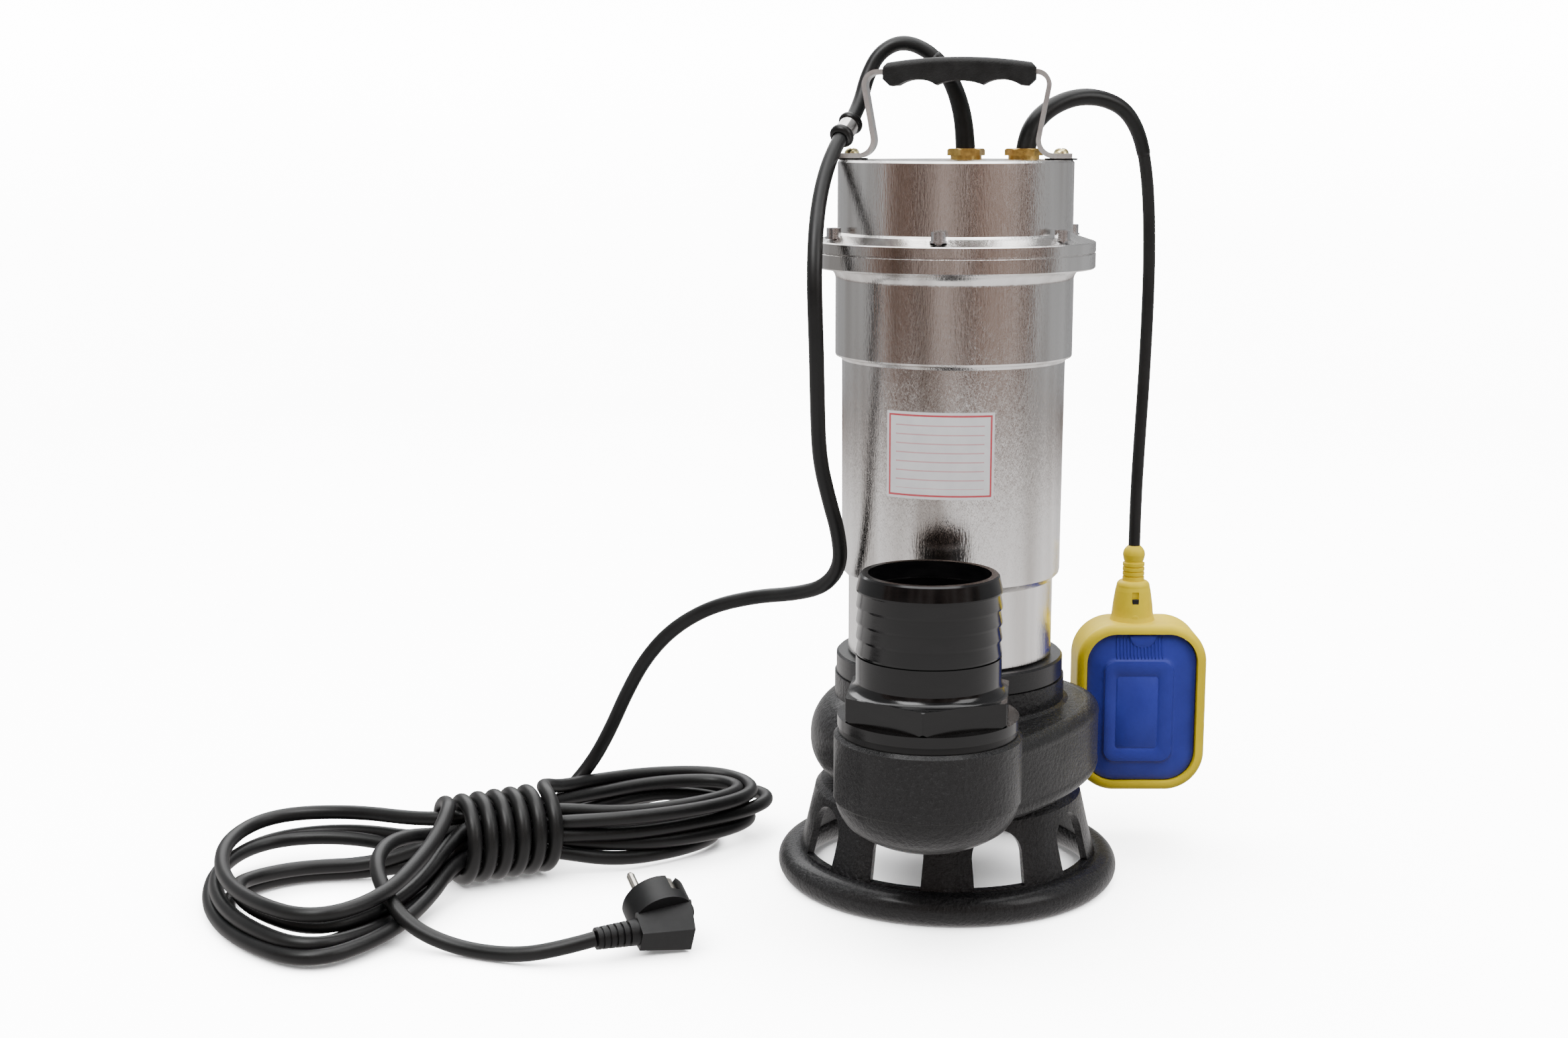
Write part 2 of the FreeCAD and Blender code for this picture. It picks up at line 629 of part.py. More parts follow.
def handle_strap():
    """One bent strip: foot, waist, outward lean and top bend, mirrored at the far side."""
    half = [(FOOT_END_X, STRAP_MID_Z, 0), (46.0, STRAP_MID_Z, 9.0), (STRAP_TOP_X, STRAP_TOP_Z, 7.5)]
    corners = [(-x, z, r) for x, z, r in half] + [(x, z, r) for x, z, r in reversed(half)]
    pts = [V(x, 0, z) for x, z, r in corners]
    edges = []
    start = pts[0]
    for i in range(1, len(pts) - 1):
        u = (pts[i - 1] - pts[i]).normalize()
        w = (pts[i + 1] - pts[i]).normalize()
        half_turn = (math.pi - u.getAngle(w)) / 2
        reach = corners[i][2] * math.tan(half_turn)
        middle = pts[i] + (u + w).normalize() * (corners[i][2] / math.cos(half_turn) - corners[i][2])
        edges.append(Part.LineSegment(start, pts[i] + u * reach).toShape())
        edges.append(Part.Arc(pts[i] + u * reach, middle, pts[i] + w * reach).toShape())
        start = pts[i] + w * reach
    edges.append(Part.LineSegment(start, pts[-1]).toShape())
    path = Part.Wire(edges)
    x0 = pts[0].x
    low, high = STRAP_MID_Z - STRAP_T / 2, STRAP_MID_Z + STRAP_T / 2
    section = Part.makePolygon([V(x0, -STRAP_W / 2, low), V(x0, STRAP_W / 2, low), V(x0, STRAP_W / 2, high),
                                V(x0, -STRAP_W / 2, high), V(x0, -STRAP_W / 2, low)])
    strap = path.makePipeShell([section], True, True)
    for side in (-1, 1):
        strap = strap.cut(cylinder(2.6, 430, 445, V(side * FOOT_X, 0, 0)))
    return turn_handle(strap)


GRIP_TOP_Z = 493.4
GRIP_END_Z = 490.2
GRIP_LOW_Z = 477.4
GRIP_HIGH_Z = 480.6


def handle_grip():
    """Moulded grip with a crowned top and finger waves underneath, slotted for the strap."""
    half = GRIP_HALF
    outline = [(-half, 480.6), (-half, GRIP_END_Z - 2.6), (-half + 2.5, GRIP_END_Z), (0, GRIP_TOP_Z, "mid"),
               (half - 2.5, GRIP_END_Z), (half, GRIP_END_Z - 2.6), (half, 480.6), (half - 4, GRIP_LOW_Z - 0.5),
               (half - 9, GRIP_LOW_Z), (22.5, GRIP_HIGH_Z, "mid"), (13.5, GRIP_LOW_Z),
               (0, GRIP_HIGH_Z - 0.5, "mid"), (-13.5, GRIP_LOW_Z), (-22.5, GRIP_HIGH_Z, "mid"),
               (-half + 9, GRIP_LOW_Z), (-half + 4, GRIP_LOW_Z - 0.5)]
    grip = face_of(outline, "xz", V(0, -GRIP_W / 2, 0)).extrude(V(0, GRIP_W, 0))
    grip = rounded(grip, 3.5, lambda e: e.CenterOfMass.z > GRIP_END_Z and e.Length > 60)
    grip.translate(V(GRIP_SHIFT, 0, 0))
    slot = Part.makeBox(2 * half + 4, STRAP_W + 0.2, STRAP_T + 0.2,
                        V(GRIP_SHIFT - half - 2, -STRAP_W / 2 - 0.1, STRAP_TOP_Z - STRAP_T / 2 - 0.1))
    return turn_handle(grip.cut(slot))


def handle_screws():
    head_z = STRAP_FOOT_Z + STRAP_T
    screws = []
    for side in (-1, 1):
        at = polar(side * FOOT_X, HANDLE_TURN)
        head = turned([(0, head_z), (4.5, head_z), (3.4, head_z + 2.2, "mid"), (0, head_z + 3.0)], at)
        slot = Part.makeBox(5, 1, 1.2, V(at.x - 2.5, at.y - 0.5, head_z + 2.0))
        cross = Part.makeBox(1, 5, 1.2, V(at.x - 0.5, at.y - 2.5, head_z + 2.0))
        screws.append(head.fuse(cylinder(M5_R, 424, head_z, at)).cut([slot, cross]))
    return screws


def handle_pads():
    return [ring(2.6, 9.5, TOP_Z, TOP_Z + PAD_T, polar(side * FOOT_X, HANDLE_TURN)) for side in (-1, 1)]


# ---- glands, sleeves and cords
def gland(at, turn):
    collar = cylinder(9.2, TOP_Z, TOP_Z + 2.2, at)
    hexed = hexagon(HEX_AF, TOP_Z + 2.2, TOP_Z + 6.4, at, turn)
    hexed = hexed.common(turned([(0, TOP_Z + 2.2), (11.4, TOP_Z + 2.2), (11.4, TOP_Z + 5.6), (10.2, TOP_Z + 6.4),
                                 (0, TOP_Z + 6.4)], V(at.x, at.y, 0)))
    thread = cylinder(7.95, 425, TOP_Z, at)
    body = collar.fuse([hexed, thread]).cut(cylinder(SLEEVE_R + 0.05, 420, 450, at))
    return body.removeSplitter()


def sleeve(route, bends, end_diameter, diameter):
    """Rubber strain relief: follows the cord's own first runs, with the cord in its bore."""
    outer = cord_tube(route, 2 * SLEEVE_R, bends, end_diameter)
    return outer, outer.cut(cord_tube(route, diameter, bends))


def collar_axis():
    """Middle and direction of the straight stretch of the mains cord that carries the collar."""
    a = V(*MAINS_ROUTE[9])
    b = V(*MAINS_ROUTE[10])
    return a * 0.62 + b * 0.38, (b - a).normalize()


def collar_tube():
    middle, along = collar_axis()
    outer = Part.makeCylinder(COLLAR_R, 13, middle - along * 6.5, along)
    return outer.cut(Part.makeCylinder(MAINS_D / 2 + 0.5, 20, middle - along * 10, along))


def collar_grommets():
    middle, along = collar_axis()
    grommets = []
    for side in (-1, 1):
        centre = middle + along * (side * 6.6)
        ball = Part.makeTorus(4.4, 3.0, centre, along)
        disc = Part.makeCylinder(4.4, 6.0, centre - along * 3.0, along)
        rubber = ball.fuse(disc).cut(Part.makeCylinder(MAINS_D / 2 + 0.3, 20, centre - along * 10, along))
        seat = Part.makeCylinder(COLLAR_R + 0.02, 13, middle - along * 6.5, along)
        grommets.append(rubber.cut(seat))
    return grommets


def oval(half_u, half_v, height, turn, u, v):
    """Upright elliptic prism standing on the floor of the hank's own axes."""
    prism_solid = Part.Face(Part.Wire(Part.Ellipse(V(0, 0, 0), half_u, half_v).toShape())).extrude(UP * height)
    prism_solid.rotate(V(0, 0, 0), UP, turn)
    prism_solid.translate(V(u, v, 0))
    return prism_solid


def mains_hank():
    """Outer shape of the tied hank: a wide open lobe, a narrower lobe and the wrapped waist."""
    wide = oval(106, 90, HANK_LOW, 68, -88, 0).fuse(oval(92, 52, HANK_HIGH, 20, -80, 38))
    wide = wide.cut(oval(46, 27, HANK_HIGH + 5, 0, -93, 7))
    shed = Part.makePolygon([V(-200, -58, HANK_LOW), V(-200, -98, 3), V(-200, -130, 3), V(-200, -130, 60),
                             V(-200, -58, 60), V(-200, -58, HANK_LOW)])
    wide = wide.cut(Part.Face(shed).extrude(V(250, 0, 0)))
    narrow = oval(93, 50, HANK_HIGH - 4, 4, 96, 7)
    waist = Part.Face(Part.Wire(Part.Ellipse(V(0, 0, 0), WAIST_HALF_V, WAIST_HALF_Z).toShape()))
    waist = waist.extrude(V(0, 0, 2 * WAIST_HALF_U))
    waist.rotate(V(0, 0, 0), V(0, 1, 0), 90)
    waist.rotate(V(0, 0, 0), V(1, 0, 0), 90)
    waist.translate(V(-WAIST_HALF_U, -4, WAIST_Z))
    hank = wide.fuse([narrow, waist]).removeSplitter()
    hank.rotate(V(0, 0, 0), UP, HANK_TURN)
    hank.translate(HANK_AT)
    return hank


def longest(shape):
    """The main piece left after a cord has been cut off where it goes into the hank."""
    return max(shape.Solids, key=lambda solid: solid.Volume)


# ---- float switch
def rounded_box(width, height, corner, y0, y1, centre_x, low_z):
    """Rounded rectangle in the XZ plane, extruded along Y."""
    a = width / 2
    top = low_z + height
    k = corner * (1 - math.sqrt(0.5))
    pts = [(-a + corner, low_z), (a - corner, low_z), (a - k, low_z + k, "mid"), (a, low_z + corner),
           (a, top - corner), (a - k, top - k, "mid"), (a - corner, top), (-a + corner, top),
           (-a + k, top - k, "mid"), (-a, top - corner), (-a, low_z + corner), (-a + k, low_z + k, "mid")]
    return face_of(pts, "xz", V(centre_x, y0, 0)).extrude(V(0, y1 - y0, 0))


def outline_wire(width, height, corner, y, centre_x, low_z):
    solid = rounded_box(width, height, corner, y, y + 1, centre_x, low_z)
    face = min(solid.Faces, key=lambda f: f.CenterOfMass.y)
    return face.OuterWire


FLOAT_H = FLOAT_TOP_Z - FLOAT_BOTTOM_Z


def float_shell():
    y0, y1 = PIVOT.y - FLOAT_HALF_T, PIVOT.y + FLOAT_HALF_T
    body = rounded_box(FLOAT_W, FLOAT_H, FLOAT_CORNER, y0, y1, FLOAT_X, FLOAT_BOTTOM_Z)
    body = rounded(body, 5.0, lambda e: abs(abs(e.CenterOfMass.y - PIVOT.y) - FLOAT_HALF_T) < 0.5)
    hollow = rounded_box(FLOAT_W - 2 * RIM, FLOAT_H - 2 * RIM, FLOAT_CORNER - RIM, y0 - 1, y1 + 1, FLOAT_X,
                         FLOAT_BOTTOM_Z + RIM)
    return body.cut(hollow)


def float_cover(side):
    """Blue half: a rim that fits in the shell, sloping up to a raised pad, hollow inside."""
    gap = 0.5
    w = FLOAT_W - 2 * RIM - 2 * gap
    h = FLOAT_H - 2 * RIM - 2 * gap
    low = FLOAT_BOTTOM_Z + RIM + gap
    r = FLOAT_CORNER - RIM - gap
    rim_y = 15.0
    pad_y = 19.8
    outer = rounded_box(w, h, r, 0.05, rim_y, FLOAT_X, low)
    slope = Part.makeLoft([outline_wire(w, h, r, rim_y, FLOAT_X, low),
                           outline_wire(w - 27, h - 25, r - 8, pad_y, FLOAT_X, low + 10.5)], True, True)
    inner = rounded_box(w - 5, h - 5, r - 2.5, -1, rim_y - 2, FLOAT_X, low + 2.5)
    cover = outer.fuse(slope).cut(inner).removeSplitter()
    if side < 0:
        cover = cover.mirror(V(0, 0, 0), V(0, 1, 0))
    cover.translate(V(0, PIVOT.y, 0))
    return cover


def float_neck():
    """Bell and ribbed boot moulded in one; the domed top is centred on the swing axis."""
    x = PIVOT.x
    dz = PIVOT.z
    profile = [(0, FLOAT_TOP_Z - 1.9), (14.6, FLOAT_TOP_Z - 1.9), (13.2, 148), (12.5, 155), (11.2, 163.8),
               (10.5, 166.6), (9.6, 169.2, "mid"), (6.8, 170.4)]
    z = 170.8
    for k in range(4):
        profile += [(6.9, z), (6.9, z + 1.9), (6.0, z + 2.3), (6.0, z + 3.0)]
        z += 3.0
    profile += [(6.4, dz - 3), (DOME_R, dz), (DOME_R * math.sqrt(0.5), dz + DOME_R * math.sqrt(0.5), "mid"),
                (0, dz + DOME_R)]
    bell = turned(profile, V(x, PIVOT.y, 0))
    shell_space = rounded_box(FLOAT_W, FLOAT_H, FLOAT_CORNER, PIVOT.y - FLOAT_HALF_T, PIVOT.y + FLOAT_HALF_T,
                              FLOAT_X, FLOAT_BOTTOM_Z)
    window = Part.makeBox(4.2, 5, 6.5, V(x - 2.1, PIVOT.y - 15, 157.8))
    return bell.cut([shell_space, window])


TRACK_Z = (62.0, 100.0)


def float_ball_tube():
    at = V(FLOAT_X, PIVOT.y, 0)
    tube = ring(BALL_R + 0.4, BALL_R + 1.8, TRACK_Z[0], TRACK_Z[1], at)
    return tube.fuse(cylinder(BALL_R + 1.8, TRACK_Z[0] - 1.5, TRACK_Z[0], at)).removeSplitter()


def float_ball():
    return Part.makeSphere(BALL_R, V(FLOAT_X, PIVOT.y, TRACK_Z[0] + BALL_R + 0.3))


def float_microswitch():
    box = Part.makeBox(20, 10, 14, V(FLOAT_X - 10, PIVOT.y - 5, TRACK_Z[1] + 2))
    button = Part.makeCylinder(1.6, 2.5, V(FLOAT_X, PIVOT.y, TRACK_Z[1] - 0.5))
    return box.fuse(button)


# ---- plug
def plug_frame():
    """Unit vectors of the plug: cable exit, pins, and the third, square to both and pointing down."""
    a = math.radians(CABLE_ANGLE)
    cable = V(math.cos(a), math.sin(a), 0)
    level = V(math.cos(a - math.pi / 2), math.sin(a - math.pi / 2), 0)
    t = math.radians(PIN_TILT)
    pins = level * math.cos(t) + UP * math.sin(t)
    return cable, pins, cable.cross(pins)


def to_plug(shape):
    """Move a shape from plug axes (x cable exit, y pins, z third; origin at the boot's end)."""
    cable, pins, third = plug_frame()
    placed = shape.copy()
    placed.Placement = FreeCAD.Placement(FreeCAD.Matrix(
        cable.x, pins.x, third.x, PLUG_END.x, cable.y, pins.y, third.y, PLUG_END.y,
        cable.z, pins.z, third.z, PLUG_END.z, 0, 0, 0, 1)).multiply(placed.Placement)
    return placed


FACE_Y = 22.0
DISC_X = -(BOOT_L + 17.5)


def plug_body():
    disc = Part.makeCylinder(PLUG_R, 17, V(DISC_X, FACE_Y - 17, 0), V(0, 1, 0))
    back = Part.makeLoft([
        Part.makePolygon([V(DISC_X - 15, 6, -13), V(DISC_X - 15, 6, 13), V(-BOOT_L, 6, 9), V(-BOOT_L, 6, -9),
                          V(DISC_X - 15, 6, -13)]),
        Part.makePolygon([V(DISC_X - 12, -12, -8), V(DISC_X - 12, -12, 8), V(-BOOT_L, -8, 6.5),
                          V(-BOOT_L, -8, -6.5), V(DISC_X - 12, -12, -8)])], True, True)
    boot = Part.makeCone(7.6, 6.2, BOOT_L + 3, V(-BOOT_L - 3, 0, 0), V(1, 0, 0))
    body = disc.fuse([back, boot])
    for k in range(5):
        groove = Part.makeCylinder(9, 1.3, V(-3.4 - 3.9 * k, 0, 0), V(1, 0, 0))
        body = body.cut(groove.cut(Part.makeCylinder(5.6, 4, V(-5 - 3.9 * k, 0, 0), V(1, 0, 0))))
    for side in (-1, 1):
        slot = Part.makeBox(7, 12, 4, V(-3.5, FACE_Y - 10, PLUG_R - 3.4))
        slot.rotate(V(0, 0, 0), V(0, 1, 0), CLIP_TURN if side > 0 else CLIP_TURN + 180)
        slot.translate(V(DISC_X, 0, 0))
        body = body.cut(slot)
        bore = Part.makeCylinder(2.4, 8, pin_root(side) + V(0, -6, 0), V(0, 1, 0))
        body = body.cut(bore)
    return to_plug(body.removeSplitter())


def pin_root(side):
    a = math.radians(-CLIP_TURN)
    return V(DISC_X + side * PIN_SPACING / 2 * math.cos(a), FACE_Y, side * PIN_SPACING / 2 * math.sin(a))


def plug_pins():
    pins = []
    for side in (-1, 1):
        root = pin_root(side)
        shank = Part.makeCylinder(2.4, 22.5, root + V(0, -6, 0), V(0, 1, 0))
        tip = Part.makeCone(2.4, 1.3, 2.0, root + V(0, 16.5, 0), V(0, 1, 0))
        pins.append(to_plug(shank.fuse(tip)))
    return pins


def plug_earth_clips():
    clips = []
    for side in (-1, 1):
        strip = Part.makeBox(4.6, 10.5, 1.0, V(-2.3, FACE_Y - 9.5, PLUG_R - 3.35))
        strip.rotate(V(0, 0, 0), V(0, 1, 0), CLIP_TURN if side > 0 else CLIP_TURN + 180)
        strip.translate(V(DISC_X, 0, 0))
        clips.append(to_plug(strip))
    return clips


# ---- label
LABEL_Z = (244.0, 294.0)
LABEL_HALF = 27.8
LABEL_TURN = -10.8


def label():
    """Thin plate wrapped on the housing."""
    low, high = LABEL_Z
    band = turned([(MID_R + 0.06 + 0.6 * (low - STEP2_Z) / 129, low), (MID_R + 0.36 + 0.6 * (low - STEP2_Z) / 129, low),
                   (MID_R + 0.36 + 0.6 * (high - STEP2_Z) / 129, high),
                   (MID_R + 0.06 + 0.6 * (high - STEP2_Z) / 129, high)])
    half = math.radians(LABEL_HALF)
    wedge = prism([(0, 0), (-100 * math.sin(half), -100 * math.cos(half)),
                   (100 * math.sin(half), -100 * math.cos(half))], low - 1, high + 1)
    plate = band.common(wedge)
    plate.rotate(V(0, 0, 0), UP, LABEL_TURN)
    return plate


def write(name, shape):
    solids = shape if isinstance(shape, list) else [shape]
    flat = [s for item in solids for s in item.Solids]
    whole = flat[0] if len(flat) == 1 else Part.makeCompound(flat)
    if not whole.isValid():
        print("NOT VALID", name)
    whole.exportStep("parts/" + name + ".step")


def main():
    os.makedirs("parts", exist_ok=True)
    lower_outer, lower_inner, lower_balls = bearing(LOWER_BEARING)
    upper_outer, upper_inner, upper_balls = bearing(UPPER_BEARING)
    hank = mains_hank()
    plug = plug_body()
    casing = volute_casing()
    mains = longest(cord_tube(MAINS_ROUTE, MAINS_D).cut(hank))
    tail = longest(cord_tube(TAIL_ROUTE, MAINS_D).cut([hank, plug]))
    float_line = cord_tube(FLOAT_ROUTE, FLOAT_D)
    float_line = float_line.cut(Part.makeSphere(DOME_R + 0.3, PIVOT))
    mains_outer, mains_sleeve = sleeve(MAINS_ROUTE, SLEEVE_BENDS, SLEEVE_TIP, MAINS_D)
    float_outer, float_sleeve = sleeve(FLOAT_ROUTE, FLOAT_SLEEVE_BENDS, FLOAT_SLEEVE_TIP, FLOAT_D)
    nodes = {
        "strainer_base": strainer_base().cut(casing),
        "base_screws": base_screws(),
        "volute_casing": casing,
        "casing_gasket": casing_gasket(),
        "casing_screws": casing_screws(),
        "discharge_gasket": discharge_gasket(),
        "hose_tail": hose_tail(),
        "impeller": impeller(),
        "impeller_nut": impeller_nut(),
        "impeller_key": impeller_key(),
        "pump_cover": pump_cover(),
        "housing_screws": housing_screws(),
        "seal_seat": seal_seat(),
        "seal_face": seal_face(),
        "seal_spring": seal_spring(),
        "shaft": shaft(),
        "rotor_core": rotor_core(),
        "rotor_end_rings": rotor_end_rings(),
        "stator_core": stator_core(),
        "stator_windings": stator_windings(),
        "lower_bearing_outer": lower_outer,
        "lower_bearing_inner": lower_inner,
        "lower_bearing_balls": lower_balls,
        "upper_bearing_outer": upper_outer,
        "upper_bearing_inner": upper_inner,
        "upper_bearing_balls": upper_balls,
        "upper_bearing_housing": upper_bearing_housing(),
        "motor_housing": motor_housing(),
        "cover_oring": cover_oring(),
        "top_cover": top_cover(),
        "flange_screws": flange_screws(),
        "flange_washers": flange_washers(),
        "handle_strap": handle_strap(),
        "handle_grip": handle_grip(),
        "handle_screws": handle_screws(),
        "handle_pads": handle_pads(),
        "mains_gland": gland(MAINS_AT, 8).cut(mains_outer),
        "float_gland": gland(FLOAT_AT, -6).cut(float_outer),
        "mains_sleeve": mains_sleeve,
        "float_sleeve": float_sleeve,
        "mains_cord": mains,
        "mains_hank": hank,
        "mains_tail": tail,
        "collar_tube": collar_tube(),
        "collar_grommets": [rubber.cut(mains) for rubber in collar_grommets()],
        "float_cord": float_line,
        "float_shell": float_shell(),
        "float_neck": float_neck(),
        "float_front_cover": float_cover(-1),
        "float_back_cover": float_cover(1),
        "float_ball_tube": float_ball_tube(),
        "float_ball": float_ball(),
        "float_microswitch": float_microswitch(),
        "plug_body": plug,
        "plug_pins": plug_pins(),
        "plug_earth_clips": plug_earth_clips(),
        "capacitor": capacitor(),
        "capacitor_clamp": capacitor_clamp(),
        "terminal_block": terminal_block(),
        "label": label(),
    }
    for name, shape in nodes.items():
        write(name, shape)
    print(len(nodes), "nodes")


main()
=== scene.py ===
import math
from collections import namedtuple

import bmesh
import bpy
from mathutils import Matrix, Vector, kdtree


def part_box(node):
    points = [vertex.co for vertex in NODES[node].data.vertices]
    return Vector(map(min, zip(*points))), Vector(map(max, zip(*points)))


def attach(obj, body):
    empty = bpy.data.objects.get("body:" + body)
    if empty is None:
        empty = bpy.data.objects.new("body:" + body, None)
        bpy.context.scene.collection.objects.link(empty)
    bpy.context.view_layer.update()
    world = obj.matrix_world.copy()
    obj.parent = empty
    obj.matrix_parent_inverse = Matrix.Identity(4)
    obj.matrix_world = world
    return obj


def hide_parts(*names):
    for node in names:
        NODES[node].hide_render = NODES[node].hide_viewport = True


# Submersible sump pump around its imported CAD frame. Metres; the pump's axis is Z and the outlet faces -Y.
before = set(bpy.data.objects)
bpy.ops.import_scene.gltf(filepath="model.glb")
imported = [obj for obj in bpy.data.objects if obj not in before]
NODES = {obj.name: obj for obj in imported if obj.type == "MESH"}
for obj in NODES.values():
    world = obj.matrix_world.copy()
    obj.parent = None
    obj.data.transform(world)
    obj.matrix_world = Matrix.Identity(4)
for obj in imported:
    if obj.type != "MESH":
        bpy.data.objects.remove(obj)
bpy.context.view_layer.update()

# ---- camera and stage
CAMERA_AT = (-0.1004, -1.2823, 0.4520)
CAMERA_DOWN_DEG = 10.2
CAMERA_LENS_MM = 49.71
SENSOR_MM = 36.0
# the floor's outline from where it starts to rise: radius and height
SWEEP = [(2.4, 0.0), (2.9, 0.07), (3.3, 0.28), (3.55, 0.62), (3.66, 1.1), (3.7, 2.0), (3.7, 4.5)]
SWEEP_SIDES = 96
FLOOR_GLOW = 9.0
FLOOR_GLOW_RISE = 1.6
FLOOR_SUN = 42.0
FLOOR_SUN_SPREAD_DEG = 110.0
WORLD_LIGHT = 0.38
# area lights: place, the point each looks at, width, height and power
LIGHTS = {
    "key": ((-0.9, -1.1, 1.9), (0.0, 0.0, 0.2), 1.1, 0.9, 40.0),
    "fill": ((1.3, -0.8, 1.2), (0.0, 0.0, 0.2), 0.9, 0.9, 14.0),
    "top": ((0.0, 0.2, 2.4), (0.0, 0.0, 0.0), 2.4, 2.4, 80.0),
    "back": ((-0.4, 1.7, 1.5), (0.0, 0.0, 0.2), 1.8, 1.2, 30.0),
}
# what the steel reflects: a round room, dim in front of the pump and pale behind it, and a white table
ROOM_R = 2.6
ROOM_Z = (-1.6, 2.4)
ROOM_STEPS = 40
ROOM_FRONT_DEG = (-168.0, -12.0)
TABLE_R = 2.3
TABLE_Z = -0.001
TABLE_SIDES = 64

# ---- mains cord: the route from the gland to the hank, and from the hank to the plug, as in the CAD
MAINS_D = 0.0088
MAINS_ROUTE = [
    (0.0079, 0.0233, 0.4290),
    (0.0074, 0.0230, 0.4470),
    (0.0044, 0.0226, 0.4660),
    (-0.0026, 0.0236, 0.4835),
    (-0.0140, 0.0262, 0.4975),
    (-0.0302, 0.0285, 0.5040),
    (-0.0440, 0.0288, 0.4970),
    (-0.0512, 0.0272, 0.4830),
    (-0.0548, 0.0224, 0.4690),
    (-0.0610, 0.0115, 0.4560),
    (-0.0688, -0.0025, 0.4455),
    (-0.0758, -0.0145, 0.4300),
    (-0.0805, -0.0280, 0.4110),
    (-0.0828, -0.0440, 0.3900),
    (-0.0833, -0.0530, 0.3640),
    (-0.0820, -0.0505, 0.3310),
    (-0.0812, -0.0445, 0.2970),
    (-0.0800, -0.0385, 0.2645),
    (-0.0745, -0.0370, 0.2405),
    (-0.0684, -0.0350, 0.2190),
    (-0.0668, -0.0305, 0.1990),
    (-0.0760, -0.0180, 0.1835),
    (-0.0935, -0.0010, 0.1755),
    (-0.1180, 0.0170, 0.1700),
    (-0.1460, 0.0310, 0.1605),
    (-0.1700, 0.0405, 0.1445),
    (-0.1875, 0.0475, 0.1240),
    (-0.2005, 0.0535, 0.0995),
    (-0.2115, 0.0585, 0.0740),
    (-0.2235, 0.0610, 0.0505),
    (-0.2390, 0.0550, 0.0325),
    (-0.2540, 0.0410, 0.0205),
]
TAIL_ROUTE = [
    (-0.3100, -0.0335, 0.0290),
    (-0.3245, -0.0500, 0.0360),
    (-0.3340, -0.0700, 0.0385),
    (-0.3350, -0.0940, 0.0360),
    (-0.3250, -0.1160, 0.0260),
    (-0.3085, -0.1315, 0.0125),
    (-0.2830, -0.1410, 0.0048),
    (-0.2540, -0.1525, 0.0047),
    (-0.2285, -0.1580, 0.0090),
    (-0.2038, -0.1525, 0.0144),
]

# ---- hank of the mains cord, in its own axes: u along it, v across it, z up, with the tied waist at u = 0
HANK_AT = (-0.277, -0.010)
HANK_TURN_DEG = 27.0
# outline of a turn at either end, from the waist and back to it: u and v as shares of its reach and width
LEFT_BEND = [(0.24, 0.18), (0.46, 0.76), (0.74, 1.02), (0.96, 0.72), (1.06, 0.16), (1.05, -0.45),
             (0.90, -1.00), (0.62, -0.86), (0.40, -0.52), (0.22, -0.21)]
RIGHT_BEND = [(0.22, -0.55), (0.48, -1.0), (0.78, -0.98), (0.99, -0.55), (1.04, 0.10), (0.96, 0.72),
              (0.72, 1.05), (0.44, 0.86), (0.22, 0.42)]
# one row per turn: reach, width at the back, width at the front, heights at the back, the end and the front.
# The left has one turn more, which leads to the wraps; the last one on the right leads from them to the plug.
LEFT_TURNS = [(0.164, 0.086, 0.104, 0.0140, 0.0050, 0.0050), (0.160, 0.080, 0.099, 0.0225, 0.0135, 0.0138),
              (0.1555, 0.048, 0.0955, 0.0050, 0.0052, 0.0052), (0.149, 0.034, 0.088, 0.0056, 0.0140, 0.0145),
              (0.156, 0.089, 0.094, 0.0310, 0.0225, 0.0230)]
RIGHT_TURNS = [(0.144, 0.034, 0.030, 0.008, 0.0052, 0.0052), (0.168, 0.040, 0.036, 0.024, 0.013, 0.012),
               (0.182, 0.050, 0.026, 0.016, 0.022, 0.020), (0.162, 0.034, 0.026, 0.031, 0.030, 0.028)]
LAST_RIGHT_TURN = (0.170, 0.040, 0.034, 0.030, 0.029, 0.036)
RIGHT_SHIFT = 0.006
# where each pass goes through the waist: v and z
WAIST_PASSES = [(0.0128, 0.0175), (-0.0128, 0.0175), (0.0043, 0.0150), (-0.0043, 0.0150), (0.0086, 0.0262),
                (-0.0086, 0.0262), (0.0128, 0.0350), (-0.0128, 0.0350), (0.0043, 0.0375), (0.0, 0.0262)]
WAIST_HALF = 0.014
WAIST_SHIFT = -0.004
# wraps round the waist, evenly along it, a little squarer than an ellipse
WRAP_TURNS = 6
WRAP_POINTS = 12
WRAP_HALF_U = 0.0310
WRAP_HALF_V = 0.0256
WRAP_HALF_Z = 0.0236
WRAP_Z = 0.0284
WRAP_SQUARENESS = 2.05
WRAP_START = [(-0.0445, -0.0290, 0.0430), (-0.0350, -0.0150, 0.0505)]
WRAP_END = [(0.0345, 0.0110, 0.0505), (0.0500, 0.0225, 0.0440)]

# ---- how turns that overlap are pushed apart: rounds, share of the overlap taken up in each, longest step,
# how much of its own move a point keeps, and how much it takes from the next point on each side
SETTLE_ROUNDS = 70
SETTLE_PUSH = 0.16
SETTLE_STEP = 0.0012
SETTLE_OWN = 0.84
SETTLE_NEXT = 0.08
# control points between two samples before they count as different turns; points that may move before the
# hank begins, and that stay still at the plug
SETTLE_APART = 3
SETTLE_BEFORE_HANK = 3
SETTLE_STILL_AT_PLUG = 5
FLOOR_GAP = 0.0001
TINY = 1e-6

